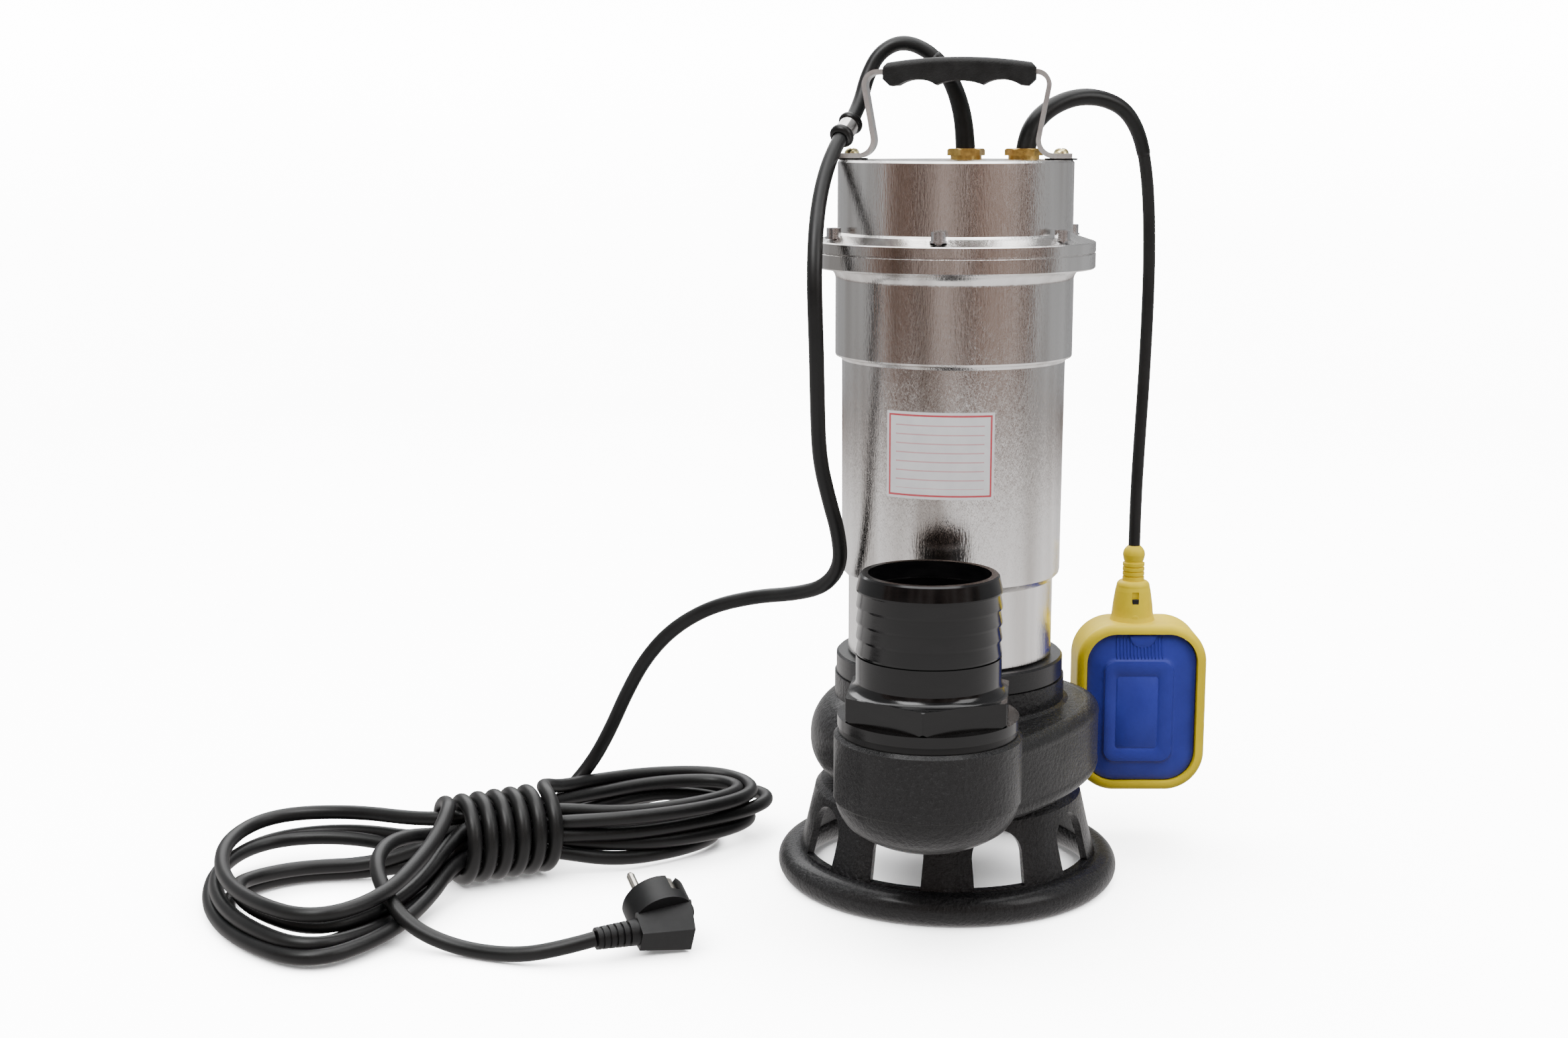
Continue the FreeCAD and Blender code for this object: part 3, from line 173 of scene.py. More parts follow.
# ---- float cord
FLOAT_D = 0.0075
FLOAT_ROUTE = [
    (0.0420, 0.0213, 0.4290),
    (0.0432, 0.0220, 0.4450),
    (0.0490, 0.0252, 0.4575),
    (0.0605, 0.0295, 0.4665),
    (0.0750, 0.0345, 0.4715),
    (0.0905, 0.0405, 0.4708),
    (0.1050, 0.0460, 0.4645),
    (0.1145, 0.0505, 0.4510),
    (0.1200, 0.0550, 0.4325),
    (0.1236, 0.0592, 0.4060),
    (0.1253, 0.0622, 0.3710),
    (0.1253, 0.0640, 0.3350),
    (0.1244, 0.0646, 0.2970),
    (0.1228, 0.0650, 0.2570),
    (0.1216, 0.0650, 0.2220),
    (0.1215, 0.0650, 0.1908),
]

# ---- rubber sleeves on the two cords: start and end radius, and length along the cord
MAINS_SLEEVE = (0.0061, 0.0047, 0.070)
FLOAT_SLEEVE = (0.0061, 0.0041, 0.125)
SLEEVE_LIP = 0.0006
SLEEVE_LIP_DEPTH = 0.0007

# ---- float covers: rounded rectangles at the rim, at the raised pad, and for the fine line pressed into it
Outline = namedtuple("Outline", "half_w half_h corner x z")
COVER_RIM = Outline(0.0345, 0.04765, 0.0185, 0.1260, 0.09085)
COVER_PAD = Outline(0.0212, 0.0325, 0.0070, 0.1238, 0.0891)
COVER_LINE = Outline(0.0131, 0.0233, 0.0022, 0.1229, 0.0885)
COVER_TOP_Z = COVER_RIM.z + COVER_RIM.half_h
PAD_TOP_Z = COVER_PAD.z + COVER_PAD.half_h
# depths from the float's middle: where the skin starts, hidden in the shell, its rim, and the pad
COVER_DEPTHS = {"hidden": 0.0130, "rim": 0.0152, "pad": 0.0196}
COVER_RIBS = 14
COVER_RIB_PITCH = 0.0022
COVER_RIB_X = 0.1242
COVER_TAB_R = 0.0085
COVER_ROUND = 0.0012
# the skin's rings, as a share of the way in and how far they lie below the full depth: round the rim, along
# the slope, round the pad's edge, and from the pad's edge over the pressed line
RIM_RINGS = [(0.0, 0.0007), (0.012, 0.0002), (0.045, 0.0)]
SLOPE_RINGS = 8
SLOPE_START = 0.05
SLOPE_SHARE = 0.88
PAD_RINGS = [(0.965, 0.0007), (0.985, 0.0002)]
LINE_RINGS = [(0.03, 0.0), (0.95, 0.0), (0.97, 0.0002), (1.0, 0.0002), (1.02, 0.0)]
RIB_START = 0.07
RIB_SHARE = 0.86
RIB_RADII = [0.00025, 0.0005, 0.0006, 0.0006, 0.0006, 0.0006, 0.0006, 0.0005, 0.00025]
TAB_STEPS = [(0.0, 0.0140), (0.0, 0.0166), (0.0003, 0.0170), (0.0009, 0.0172)]
TAB_TUCK = 0.0006
HALF_ROUND_STEPS = 24

# ---- float neck: its window, the dark catch in it, and the round mark under it
WINDOW_MIDDLE = (0.1215, 0.0528, 0.1597)
CATCH_HALF = (0.0020, 0.0016)
CATCH_BELOW = 0.0013
CATCH_STEPS = [(0.0, 0.0012), (0.0, 0.0002), (0.0002, 0.0)]
CATCH_SHAPE = [(-1, -1), (0, -1.05), (1, -1), (1, 1), (0, 1.05), (-1, 1)]
MARK_Z = 0.1477
MARK_STEPS = [(0.0023, -0.0008), (0.0023, 0.0001), (0.0021, 0.00025), (0.0009, 0.00032)]
MARK_SIDES = 24
BELL_R = 0.0130

# ---- hose tail: the cones between its five rings
BARBS = 4
BARBS_Z = (0.1678, 0.2030)

# ---- label: radius of the housing there, middle of its arc and half its width, frame, and ruled lines
LABEL_R = 0.0655
LABEL_TURN_DEG = 10.8
LABEL_HALF_DEG = 27.8
LABEL_MARGIN = 0.0020
LABEL_LINE = 0.00055
LABEL_PITCH = 0.0052
LABEL_ROW_SHARE = 0.13
LABEL_ROW_INSET = 0.0040
LABEL_ROW_INK = 0.55


# ---- mesh helpers
def link(obj, body="pump"):
    bpy.context.scene.collection.objects.link(obj)
    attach(obj, body)
    return obj


def mesh_piece(name, vertices, faces, material, body="pump", smooth=True):
    mesh = bpy.data.meshes.new(name)
    mesh.from_pydata([tuple(v) for v in vertices], [], faces)
    mesh.validate()
    bm = bmesh.new()
    bm.from_mesh(mesh)
    bmesh.ops.recalc_face_normals(bm, faces=bm.faces)
    bm.to_mesh(mesh)
    bm.free()
    for polygon in mesh.polygons:
        polygon.use_smooth = smooth
    mesh.materials.append(material)
    return link(bpy.data.objects.new(name, mesh), body)


def bridged(rings, close_start=True, close_end=True):
    """Vertices and faces of a skin over closed rings that all have the same number of points."""
    count = len(rings[0])
    vertices = [p for ring in rings for p in ring]
    faces = []
    for r in range(len(rings) - 1):
        for i in range(count):
            j = (i + 1) % count
            faces.append((r * count + i, r * count + j, (r + 1) * count + j, (r + 1) * count + i))
    if close_start:
        faces.append(tuple(range(count)))
    if close_end:
        faces.append(tuple(reversed(range((len(rings) - 1) * count, len(rings) * count))))
    return vertices, faces


def joined(skins):
    """One list of vertices and one of faces from several skins."""
    vertices, faces = [], []
    for more_vertices, more_faces in skins:
        faces += [tuple(i + len(vertices) for i in face) for face in more_faces]
        vertices += more_vertices
    return vertices, faces


def circle(radius, count):
    """Points (x, y) evenly round the axis."""
    angles = [math.tau * k / count for k in range(count)]
    return [(radius * math.cos(a), radius * math.sin(a)) for a in angles]


def swept(line, radii, sides=32):
    """Rings of a round tube along a polyline, one radius per point, without twist."""
    rings = []
    normal = None
    for i, point in enumerate(line):
        ahead = line[min(i + 1, len(line) - 1)] - line[max(i - 1, 0)]
        along = ahead.normalized()
        if normal is None:
            normal = along.orthogonal().normalized()
        normal = (normal - along * normal.dot(along)).normalized()
        side = along.cross(normal)
        ring = []
        for k in range(sides):
            a = math.tau * k / sides
            ring.append(point + (normal * math.cos(a) + side * math.sin(a)) * radii[i])
        rings.append(ring)
    return rings


# ---- cords
def nurbs(name, points, radius, material):
    """One open NURBS spline with a round section."""
    curve = bpy.data.curves.new(name, "CURVE")
    curve.dimensions = "3D"
    curve.resolution_u = 10
    curve.bevel_depth = radius
    curve.bevel_resolution = 7
    curve.use_fill_caps = True
    spline = curve.splines.new("NURBS")
    spline.points.add(len(points) - 1)
    for target, point in zip(spline.points, points):
        target.co = (point[0], point[1], point[2], 1.0)
    spline.order_u = 3
    spline.use_endpoint_u = True
    curve.materials.append(material)
    return link(bpy.data.objects.new(name, curve))


def centre_line(piece):
    """The points that a cord's spline runs through, from its start."""
    bare = piece.data.copy()
    bare.bevel_depth = 0.0
    probe = bpy.data.objects.new("probe", bare)
    mesh = bpy.data.meshes.new_from_object(probe)
    line = [v.co.copy() for v in mesh.vertices]
    bpy.data.objects.remove(probe)
    return line


def length_of(line):
    return sum((b - a).length for a, b in zip(line, line[1:]))


def first_part(line, distance):
    """The stretch of a line up to a distance along it."""
    part = [line[0]]
    gone = 0.0
    for a, b in zip(line, line[1:]):
        step = (b - a).length
        if gone + step > distance:
            part.append(a.lerp(b, (distance - gone) / step))
            return part
        part.append(b)
        gone += step
    return part


def hank_points():
    """Turns of the hank through its waist, then the wraps round the waist."""
    points = []

    def waist(number, sign):
        v, z = WAIST_PASSES[number]
        points.append((sign * WAIST_HALF, v + WAIST_SHIFT, z))
        points.append((-sign * WAIST_HALF, v + WAIST_SHIFT, z))

    def bend(shape, turn, sign, z_in, z_out):
        reach, back, front, z_back, z_end, z_front = turn
        if sign > 0:
            z_back, z_front = z_front, z_back
        heights = [(z_in + z_back) / 2, z_back, (2 * z_back + z_end) / 3, (z_back + 2 * z_end) / 3, z_end,
                   (z_end + z_front) / 2, z_front, z_front, (z_front + z_out) / 2]
        for i, (u, v) in enumerate(shape):
            width = back if v > 0 else front
            z = heights[round(i * (len(heights) - 1) / (len(shape) - 1))]
            shift = RIGHT_SHIFT * u if sign > 0 else 0.0
            points.append((sign * reach * u, v * width + shift, z))

    waist_z = [z for v, z in WAIST_PASSES]
    for k, (left, right) in enumerate(zip(LEFT_TURNS, RIGHT_TURNS)):
        to_left, to_right, next_pass = 2 * k, 2 * k + 1, 2 * k + 2
        waist(to_left, 1)
        bend(LEFT_BEND, left, -1, waist_z[to_left], waist_z[to_right])
        waist(to_right, -1)
        bend(RIGHT_BEND, right, 1, waist_z[to_right], waist_z[next_pass])
    waist(next_pass, 1)
    bend(LEFT_BEND[:-1], LEFT_TURNS[-1], -1, waist_z[next_pass], WRAP_START[0][2])
    points += WRAP_START
    steps = WRAP_TURNS * WRAP_POINTS
    power = 2 / WRAP_SQUARENESS
    for step in range(steps + 1):
        angle = math.pi / 2 - math.tau * step / WRAP_POINTS
        c, s = math.cos(angle), math.sin(angle)
        u = WRAP_HALF_U * (2 * step / steps - 1)
        v = WRAP_HALF_V * math.copysign(abs(c) ** power, c) + WAIST_SHIFT
        z = WRAP_Z + WRAP_HALF_Z * math.copysign(abs(s) ** power, s)
        points.append((u, v, z))
    points += WRAP_END
    bend(RIGHT_BEND[-2::-1], LAST_RIGHT_TURN, 1, WRAP_END[1][2], waist_z[-1])
    waist(len(WAIST_PASSES) - 1, 1)
    turn = Matrix.Rotation(math.radians(HANK_TURN_DEG), 3, "Z")
    at = Vector((HANK_AT[0], HANK_AT[1], 0.0))
    return [turn @ Vector(p) + at for p in points]


def pushes(points, shares):
    """How far each control point is pushed by the turns that its cord overlaps.

    Each sample on the line is a weighted sum of three control points; a push on it is shared among them."""
    samples = []
    for i in range(1, len(points) - 1):
        for w in shares:
            samples.append(points[i - 1] * w[0] + points[i] * w[1] + points[i + 1] * w[2])
    tree = kdtree.KDTree(len(samples))
    for i, p in enumerate(samples):
        tree.insert(p, i)
    tree.balance()
    moves = [Vector() for _ in points]

    def share_out(sample, push):
        before = sample // len(shares)
        for k, w in enumerate(shares[sample % len(shares)]):
            moves[before + k] += push * w

    for a, p in enumerate(samples):
        for q, b, distance in tree.find_range(p, MAINS_D):
            if b > a + SETTLE_APART * len(shares) and distance > TINY:
                push = (p - q) * (SETTLE_PUSH * (MAINS_D - distance) / distance)
                share_out(a, push)
                share_out(b, -push)
    return moves


def settle(points, first, last, still):
    """Turns that pass through each other are pushed apart, as they lie on each other in the real hank."""
    start = [p.copy() for p in points]
    free = [i for i in range(first, last) if i not in still]
    shares = [((1 - t) ** 2 / 2, 0.5 + t - t * t, t * t / 2)
              for t in (0.0, 1 / 6, 1 / 3, 1 / 2, 2 / 3, 5 / 6)]
    for _ in range(SETTLE_ROUNDS):
        moves = pushes(points, shares)
        for i in free:
            step = moves[i]
            if step.length > SETTLE_STEP:
                step = step.normalized() * SETTLE_STEP
            points[i] = points[i] + step
        gone = [p - q for p, q in zip(points, start)]
        for i in free:
            points[i] = start[i] + gone[i] * SETTLE_OWN + (gone[i - 1] + gone[i + 1]) * SETTLE_NEXT
            points[i].z = max(points[i].z, MAINS_D / 2 + FLOOR_GAP)
    return points


# ---- materials
class Look:
    """One procedural material: a Principled shader and the nodes that vary it over the surface."""

    def __init__(self, name, **fixed):
        self.material = bpy.data.materials.new(name)
        self.material.use_nodes = True
        self.tree = self.material.node_tree
        self.shader = self.tree.nodes["Principled BSDF"]
        self.place = self.tree.nodes.new("ShaderNodeTexCoord").outputs["Object"]
        for socket, value in fixed.items():
            self.shader.inputs[socket.replace("_", " ")].default_value = value

    def node(self, kind, **inputs):
        made = self.tree.nodes.new(kind)
        for socket, value in inputs.items():
            target = made.inputs[socket.replace("_", " ")]
            if isinstance(value, bpy.types.NodeSocket):
                self.tree.links.new(value, target)
            else:
                target.default_value = value
        return made

    def stretched(self, x, y, z):
        made = self.node("ShaderNodeMapping", Vector=self.place)
        made.inputs["Scale"].default_value = (x, y, z)
        return made.outputs["Vector"]

    def noise(self, scale, detail=3.0, rough=0.5, along=None, twist=0.0):
        made = self.node("ShaderNodeTexNoise", Vector=along or self.place, Scale=scale, Detail=detail,
                         Roughness=rough, Distortion=twist)
        return made.outputs["Fac"]

    def cells(self, scale):
        made = self.node("ShaderNodeTexVoronoi", Vector=self.place, Scale=scale)
        return made.outputs["Distance"]

    def ramp(self, factor, *stops):
        """Colours or greys by factor; each stop is (position, colour)."""
        made = self.node("ShaderNodeValToRGB", Fac=factor)
        elements = made.color_ramp.elements
        while len(elements) < len(stops):
            elements.new(0.5)
        for element, (position, colour) in zip(elements, stops):
            element.position = position
            element.color = (*colour, 1.0) if len(colour) == 3 else (colour[0],) * 3 + (1.0,)
        return made.outputs["Color"]

    def math(self, operation, a, b):
        made = self.tree.nodes.new("ShaderNodeMath")
        made.operation = operation
        for target, value in zip(made.inputs, (a, b)):
            if isinstance(value, bpy.types.NodeSocket):
                self.tree.links.new(value, target)
            else:
                target.default_value = value
        return made.outputs[0]

    def mixed(self, factor, a, b):
        made = self.tree.nodes.new("ShaderNodeMix")
        made.data_type = "RGBA"
        self.tree.links.new(factor, made.inputs["Factor"])
        for target, value in ((made.inputs[6], a), (made.inputs[7], b)):
            if isinstance(value, bpy.types.NodeSocket):
                self.tree.links.new(value, target)
            else:
                target.default_value = (*value, 1.0)
        return made.outputs[2]

    def colour(self, socket):
        self.tree.links.new(socket, self.shader.inputs["Base Color"])

    def glow(self, socket):
        self.tree.links.new(socket, self.shader.inputs["Emission Color"])

    def roughness(self, factor, low, high):
        made = self.node("ShaderNodeMapRange", Value=factor, To_Min=low, To_Max=high)
        self.tree.links.new(made.outputs["Result"], self.shader.inputs["Roughness"])

    def bump(self, *layers):
        """Layers of (height socket, strength, depth in metres), the first one deepest."""
        normal = None
        for height, strength, depth in layers:
            made = self.node("ShaderNodeBump", Height=height, Strength=strength, Distance=depth)
            if normal:
                self.tree.links.new(normal, made.inputs["Normal"])
            normal = made.outputs["Normal"]
        self.tree.links.new(normal, self.shader.inputs["Normal"])


def stainless():
    """Turned and polished stainless sheet: a mirror broken up by short marks along the axis, with long
    upright bands of painted reflection in its colour.
    """
    look = Look("stainless", Metallic=1.0)
    marks = look.noise(1.0, 3, 0.6, look.stretched(900, 900, 170))
    fine = look.noise(1.0, 2, 0.5, look.stretched(2600, 2600, 700))
    # long upright bands of darker, browner and paler colour: painted reflection of the room in the steel; the
    # same bands also give a shallow wave in the bump
    reflection_and_wave_bands = look.noise(1.0, 2, 0.5, look.stretched(38, 38, 1.6))
    look.colour(look.ramp(reflection_and_wave_bands, (0.34, (0.47, 0.445, 0.42)), (0.60, (0.90, 0.89, 0.88))))
    look.roughness(marks, 0.09, 0.24)
    look.bump((reflection_and_wave_bands, 0.34, 0.0014), (marks, 0.42, 0.0004), (fine, 0.22, 0.0002))
    return look.material


def cast_enamel():
    """Black enamel over rough sand-cast iron: lumps, pits and a skin of gloss."""
    look = Look("cast_enamel", Specular_IOR_Level=0.26, Coat_Weight=0.22, Coat_Roughness=0.20)
    lumps = look.noise(420, 4, 0.62)
    pits = look.cells(330)
    grain = look.noise(1500, 3, 0.6)
    broad = look.noise(45, 3, 0.5)
    look.colour(look.ramp(lumps, (0.35, (0.0032, 0.0032, 0.0036)), (0.7, (0.0105, 0.0105, 0.0112))))
    look.roughness(broad, 0.26, 0.50)
    look.bump((broad, 0.30, 0.0015), (lumps, 0.95, 0.0016), (pits, 0.45, 0.0009), (grain, 0.45, 0.0004))
    return look.material


def satin_enamel():
    """Machined disc under black enamel: smooth, with faint turning and small specks."""
    look = Look("satin_enamel", Specular_IOR_Level=0.32, Coat_Weight=0.12, Coat_Roughness=0.15)
    rings = look.noise(1.0, 2, 0.5, look.stretched(20, 20, 900))
    specks = look.noise(700, 3, 0.6)
    look.colour(look.ramp(specks, (0.4, (0.0040, 0.0040, 0.0048)), (0.75, (0.0095, 0.0095, 0.0105))))
    look.roughness(specks, 0.24, 0.40)
    look.bump((rings, 0.2, 0.0002), (specks, 0.22, 0.0002))
    return look.material


def gloss_plastic():
    """Injection-moulded black plastic, glossy, with slight flow ripples; each cone leans out to its ring."""
    look = Look("gloss_plastic", Specular_IOR_Level=0.40)
    ripples = look.noise(1.0, 2, 0.5, look.stretched(60, 60, 180))
    fine = look.noise(900, 2, 0.5)
    look.colour(look.ramp(ripples, (0.35, (0.0022, 0.0022, 0.0024)), (0.7, (0.0052, 0.0050, 0.0052))))
    look.roughness(ripples, 0.12, 0.24)
    height = look.node("ShaderNodeSeparateXYZ", Vector=look.place).outputs["Z"]
    first, last = BARBS_Z
    turns = look.math("MULTIPLY", look.math("SUBTRACT", height, first), BARBS / (last - first))
    inside = look.math("MULTIPLY", look.math("GREATER_THAN", turns, 0.0),
                       look.math("LESS_THAN", turns, float(BARBS)))
    cone = look.math("MULTIPLY", look.math("FRACT", turns, 0.0), inside)
    look.bump((cone, 1.0, 0.0024), (ripples, 0.16, 0.0004), (fine, 0.05, 0.0001))
    return look.material


def rubber(name, dark, light, low, high):
    """Soft black rubber with a faint skin."""
    look = Look(name, Specular_IOR_Level=0.30)
    broad = look.noise(60, 3, 0.5)
    fine = look.noise(1800, 3, 0.6)
    look.colour(look.ramp(broad, (0.3, (dark, dark, dark)), (0.7, (light, light, light * 1.02))))
    look.roughness(broad, low, high)
    look.bump((fine, 0.18, 0.0002), (broad, 0.12, 0.0006))
    return look.material


def cord_sheath():
    """Matt flexible sheath, a little greyer where it has been handled."""
    look = Look("cord_sheath", Specular_IOR_Level=0.34)
    broad = look.noise(35, 4, 0.55)
    fine = look.noise(2200, 2, 0.5)
    look.colour(look.ramp(broad, (0.3, (0.0040, 0.0040, 0.0043)), (0.72, (0.0105, 0.0105, 0.0105))))
    look.roughness(broad, 0.34, 0.50)
    look.bump((fine, 0.12, 0.00015), (broad, 0.1, 0.0005))
    return look.material


def grip_plastic():
    """Black grip with a fine leather-like grain."""
    look = Look("grip_plastic", Specular_IOR_Level=0.28)
    grain = look.cells(1500)
    broad = look.noise(120, 3, 0.5)
    look.colour(look.ramp(broad, (0.3, (0.0040, 0.0040, 0.0040)), (0.7, (0.0095, 0.0095, 0.0095))))
    look.roughness(broad, 0.42, 0.60)
    look.bump((grain, 0.35, 0.0003), (broad, 0.1, 0.0004))
    return look.material


def strap_steel():
    """Satin steel strip, drawn lengthwise."""
    look = Look("strap_steel", Metallic=1.0)
    drawn = look.noise(1.0, 3, 0.6, look.stretched(300, 3000, 300))
    broad = look.noise(80, 3, 0.5)
    look.colour(look.ramp(broad, (0.3, (0.52, 0.52, 0.52)), (0.7, (0.70, 0.70, 0.69))))
    look.roughness(drawn, 0.30, 0.46)
    look.bump((drawn, 0.2, 0.0002), (broad, 0.1, 0.0005))
    return look.material


def bright_steel(name="bright_steel", tint=(0.66, 0.66, 0.67), low=0.2, high=0.36):
    """Bare machined or plated metal, fairly bright, with small marks."""
    look = Look(name, Metallic=1.0)
    marks = look.noise(1600, 3, 0.6)
    broad = look.noise(220, 3, 0.5)
    darker = tuple(0.78 * c for c in tint)
    look.colour(look.ramp(broad, (0.3, darker), (0.7, tint)))
    look.roughness(marks, low, high)
    look.bump((marks, 0.15, 0.0001), (broad, 0.12, 0.0003))
    return look.material


def polished_chrome():
    """Chrome plate with faint scratches round the tube."""
    look = Look("polished_chrome", Metallic=1.0)
    scratches = look.noise(1.0, 3, 0.6, look.stretched(2500, 2500, 500))
    broad = look.noise(150, 2, 0.5)
    look.colour(look.ramp(broad, (0.3, (0.66, 0.65, 0.63)), (0.7, (0.82, 0.81, 0.80))))
    look.roughness(scratches, 0.06, 0.18)
    look.bump((scratches, 0.08, 0.0001))
    return look.material


def brass():
    """Machined brass with turning lines and a slightly dull film."""
    look = Look("brass", Metallic=1.0)
    turned = look.noise(1.0, 2, 0.5, look.stretched(60, 60, 2600))
    film = look.noise(260, 4, 0.6)
    look.colour(look.ramp(film, (0.3, (0.44, 0.27, 0.060)), (0.68, (0.74, 0.50, 0.15))))
    look.roughness(film, 0.20, 0.42)
    look.bump((turned, 0.3, 0.0002), (film, 0.12, 0.0003))
    return look.material


def yellow_zinc():
    """Yellow passivated zinc: a patchy, slightly iridescent film."""
    look = Look("yellow_zinc", Metallic=1.0)
    film = look.noise(420, 3, 0.6, None, 0.6)
    fine = look.noise(1800, 2, 0.5)
    look.colour(look.ramp(film, (0.25, (0.50, 0.36, 0.16)), (0.5, (0.66, 0.58, 0.30)),
                          (0.75, (0.52, 0.50, 0.40))))
    look.roughness(fine, 0.2, 0.36)
    look.bump((fine, 0.14, 0.0001))
    return look.material


def moulded(name, deep, bright, low, high, gloss=0.5):
    """Satin moulded plastic: a soft flow pattern, a faint skin texture and light scuffs."""
    look = Look(name, Specular_IOR_Level=gloss)
    flow = look.noise(24, 4, 0.5, None, 0.4)
    skin = look.noise(1900, 2, 0.5)
    scuffs = look.noise(1.0, 4, 0.7, look.stretched(260, 260, 90))
    look.colour(look.ramp(flow, (0.3, deep), (0.72, bright)))
    look.roughness(scuffs, low, high)
    look.bump((skin, 0.14, 0.00012), (flow, 0.08, 0.0010))
    return look.material


def laminations():
    """Stacked electrical steel, sheet by sheet."""
    look = Look("laminations", Metallic=1.0)
    sheets = look.noise(1.0, 1, 0.3, look.stretched(1, 1, 2200))
    look.colour(look.ramp(sheets, (0.4, (0.10, 0.105, 0.12)), (0.6, (0.30, 0.31, 0.33))))
    look.roughness(sheets, 0.35, 0.55)
    look.bump((sheets, 0.5, 0.0002))
    return look.material


def copper_winding():
    """Varnished copper wire, wound in layers."""
    look = Look("copper_winding", Metallic=0.6, Coat_Weight=0.6, Coat_Roughness=0.2)
    wires = look.noise(1.0, 2, 0.4, look.stretched(90, 90, 1600))
    look.colour(look.ramp(wires, (0.35, (0.24, 0.07, 0.02)), (0.65, (0.55, 0.22, 0.07))))
    look.roughness(wires, 0.25, 0.42)
    look.bump((wires, 0.6, 0.0005))
    return look.material


def label_film():
    """Plain film with a thin coloured frame just inside its edge, and ruled lines."""
    low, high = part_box("label")
    look = Look("label_film", Coat_Weight=0.3, Coat_Roughness=0.12)
    parts = look.node("ShaderNodeSeparateXYZ", Vector=look.place)
    angle = look.math("ARCTAN2", parts.outputs["X"], look.math("MULTIPLY", parts.outputs["Y"], -1.0))
    middle_angle = -math.radians(LABEL_TURN_DEG)
    off_middle = look.math("ABSOLUTE", look.math("SUBTRACT", angle, middle_angle), 0.0)
    across = look.math("MULTIPLY", off_middle, LABEL_R)
    up = look.math("ABSOLUTE", look.math("SUBTRACT", parts.outputs["Z"], (low.z + high.z) / 2), 0.0)
    half_w = LABEL_R * math.radians(LABEL_HALF_DEG)
    half_h = (high.z - low.z) / 2
    edge = look.math("MAXIMUM", look.math("SUBTRACT", across, half_w - LABEL_MARGIN),
                     look.math("SUBTRACT", up, half_h - LABEL_MARGIN))
    on_line = look.math("LESS_THAN", look.math("ABSOLUTE", edge, 0.0), LABEL_LINE)
    row = look.math("FRACT", look.math("MULTIPLY", parts.outputs["Z"], 1 / LABEL_PITCH), 0.0)
    row = look.math("LESS_THAN", row, LABEL_ROW_SHARE)
    row = look.math("MULTIPLY", row, look.math("LESS_THAN", edge, -LABEL_ROW_INSET))
    on_line = look.math("MAXIMUM", on_line, look.math("MULTIPLY", row, LABEL_ROW_INK))
    paper = look.noise(90, 3, 0.5)
    base = look.ramp(paper, (0.3, (0.80, 0.78, 0.80)), (0.7, (0.88, 0.86, 0.87)))
    look.colour(look.mixed(on_line, base, (0.60, 0.085, 0.105)))
    look.roughness(paper, 0.28, 0.42)
    look.bump((look.noise(600, 2, 0.5), 0.06, 0.0002))
    return look.material


def floor_paper():
    """White paper lit from above; where it rises into the wall it has more and more light of its own."""
    look = Look("floor_paper", Specular_IOR_Level=0.1, Emission_Strength=FLOOR_GLOW)
    broad = look.noise(2.0, 3, 0.5)
    fine = look.noise(400, 2, 0.5)
    look.colour(look.ramp(broad, (0.3, (0.80, 0.80, 0.803)), (0.7, (0.83, 0.83, 0.83))))
    look.roughness(fine, 0.75, 0.9)
    look.bump((fine, 0.03, 0.0003))
    height = look.node("ShaderNodeSeparateXYZ", Vector=look.place).outputs["Z"]
    rise = look.math("MULTIPLY", height, FLOOR_GLOW_RISE)
    look.glow(look.ramp(rise, (0.0, (0.02,)), (0.35, (0.30,)), (1.0, (1.0,))))
    return look.material


# ---- camera, floor and light
def make_camera():
    data = bpy.data.cameras.new("camera")
    data.lens = CAMERA_LENS_MM
    data.sensor_width = SENSOR_MM
    data.clip_start = 0.01
    data.clip_end = 50.0
    camera = bpy.data.objects.new("camera", data)
    camera.location = CAMERA_AT
    camera.rotation_euler = (math.radians(90.0 - CAMERA_DOWN_DEG), 0.0, 0.0)
    bpy.context.scene.collection.objects.link(camera)
    bpy.context.scene.camera = camera


def area_light(name, at, aim, width, height, power):
    data = bpy.data.lights.new(name, "AREA")
    data.shape = "RECTANGLE"
    data.size = width
    data.size_y = height
    data.energy = power
    light = bpy.data.objects.new(name, data)
    light.location = at
    light.rotation_euler = (Vector(aim) - Vector(at)).to_track_quat("-Z", "Y").to_euler()
    bpy.context.scene.collection.objects.link(light)


def room_look():
    """Dim room beyond the table, seen only in the steel: upright warm and dark areas."""
    look = Look("room_look", Specular_IOR_Level=0.0)
    uprights = look.noise(1.0, 3, 0.66, look.stretched(2.6, 2.6, 0.16))
    look.colour(look.ramp(uprights, (0.38, (0.016, 0.012, 0.010)), (0.46, (0.10, 0.060, 0.043)),
                          (0.55, (0.27, 0.175, 0.135)), (0.66, (0.72, 0.64, 0.61))))
    look.roughness(uprights, 0.8, 0.95)
    return look.material


def staged(name, vertices, faces, material):
    mesh = bpy.data.meshes.new(name)
    mesh.from_pydata(vertices, [], faces)
    mesh.materials.append(material)
    for polygon in mesh.polygons:
        polygon.use_smooth = True
    made = bpy.data.objects.new(name, mesh)
    bpy.context.scene.collection.objects.link(made)
    return made


def make_sweep():
    """Pale floor that curves up into a round wall, so that no view shows its edge."""
    rings = [[(x, y, height) for x, y in circle(radius, SWEEP_SIDES)] for radius, height in SWEEP]
    vertices, faces = bridged(rings, True, False)
    # the walls' faces are turned to look up, like the floor's
    faces = [face if len(face) > 4 else face[::-1] for face in faces]
    sweep = staged("sweep", vertices, faces, floor_paper())
    sweep.visible_glossy = False
    sweep.visible_diffuse = False
    sweep.visible_shadow = False
    return sweep


def glowing(name, strength):
    """Start of a look that only gives light."""
    return Look(name, Base_Color=(0.0, 0.0, 0.0, 1.0), Specular_IOR_Level=0.0, Emission_Strength=strength)


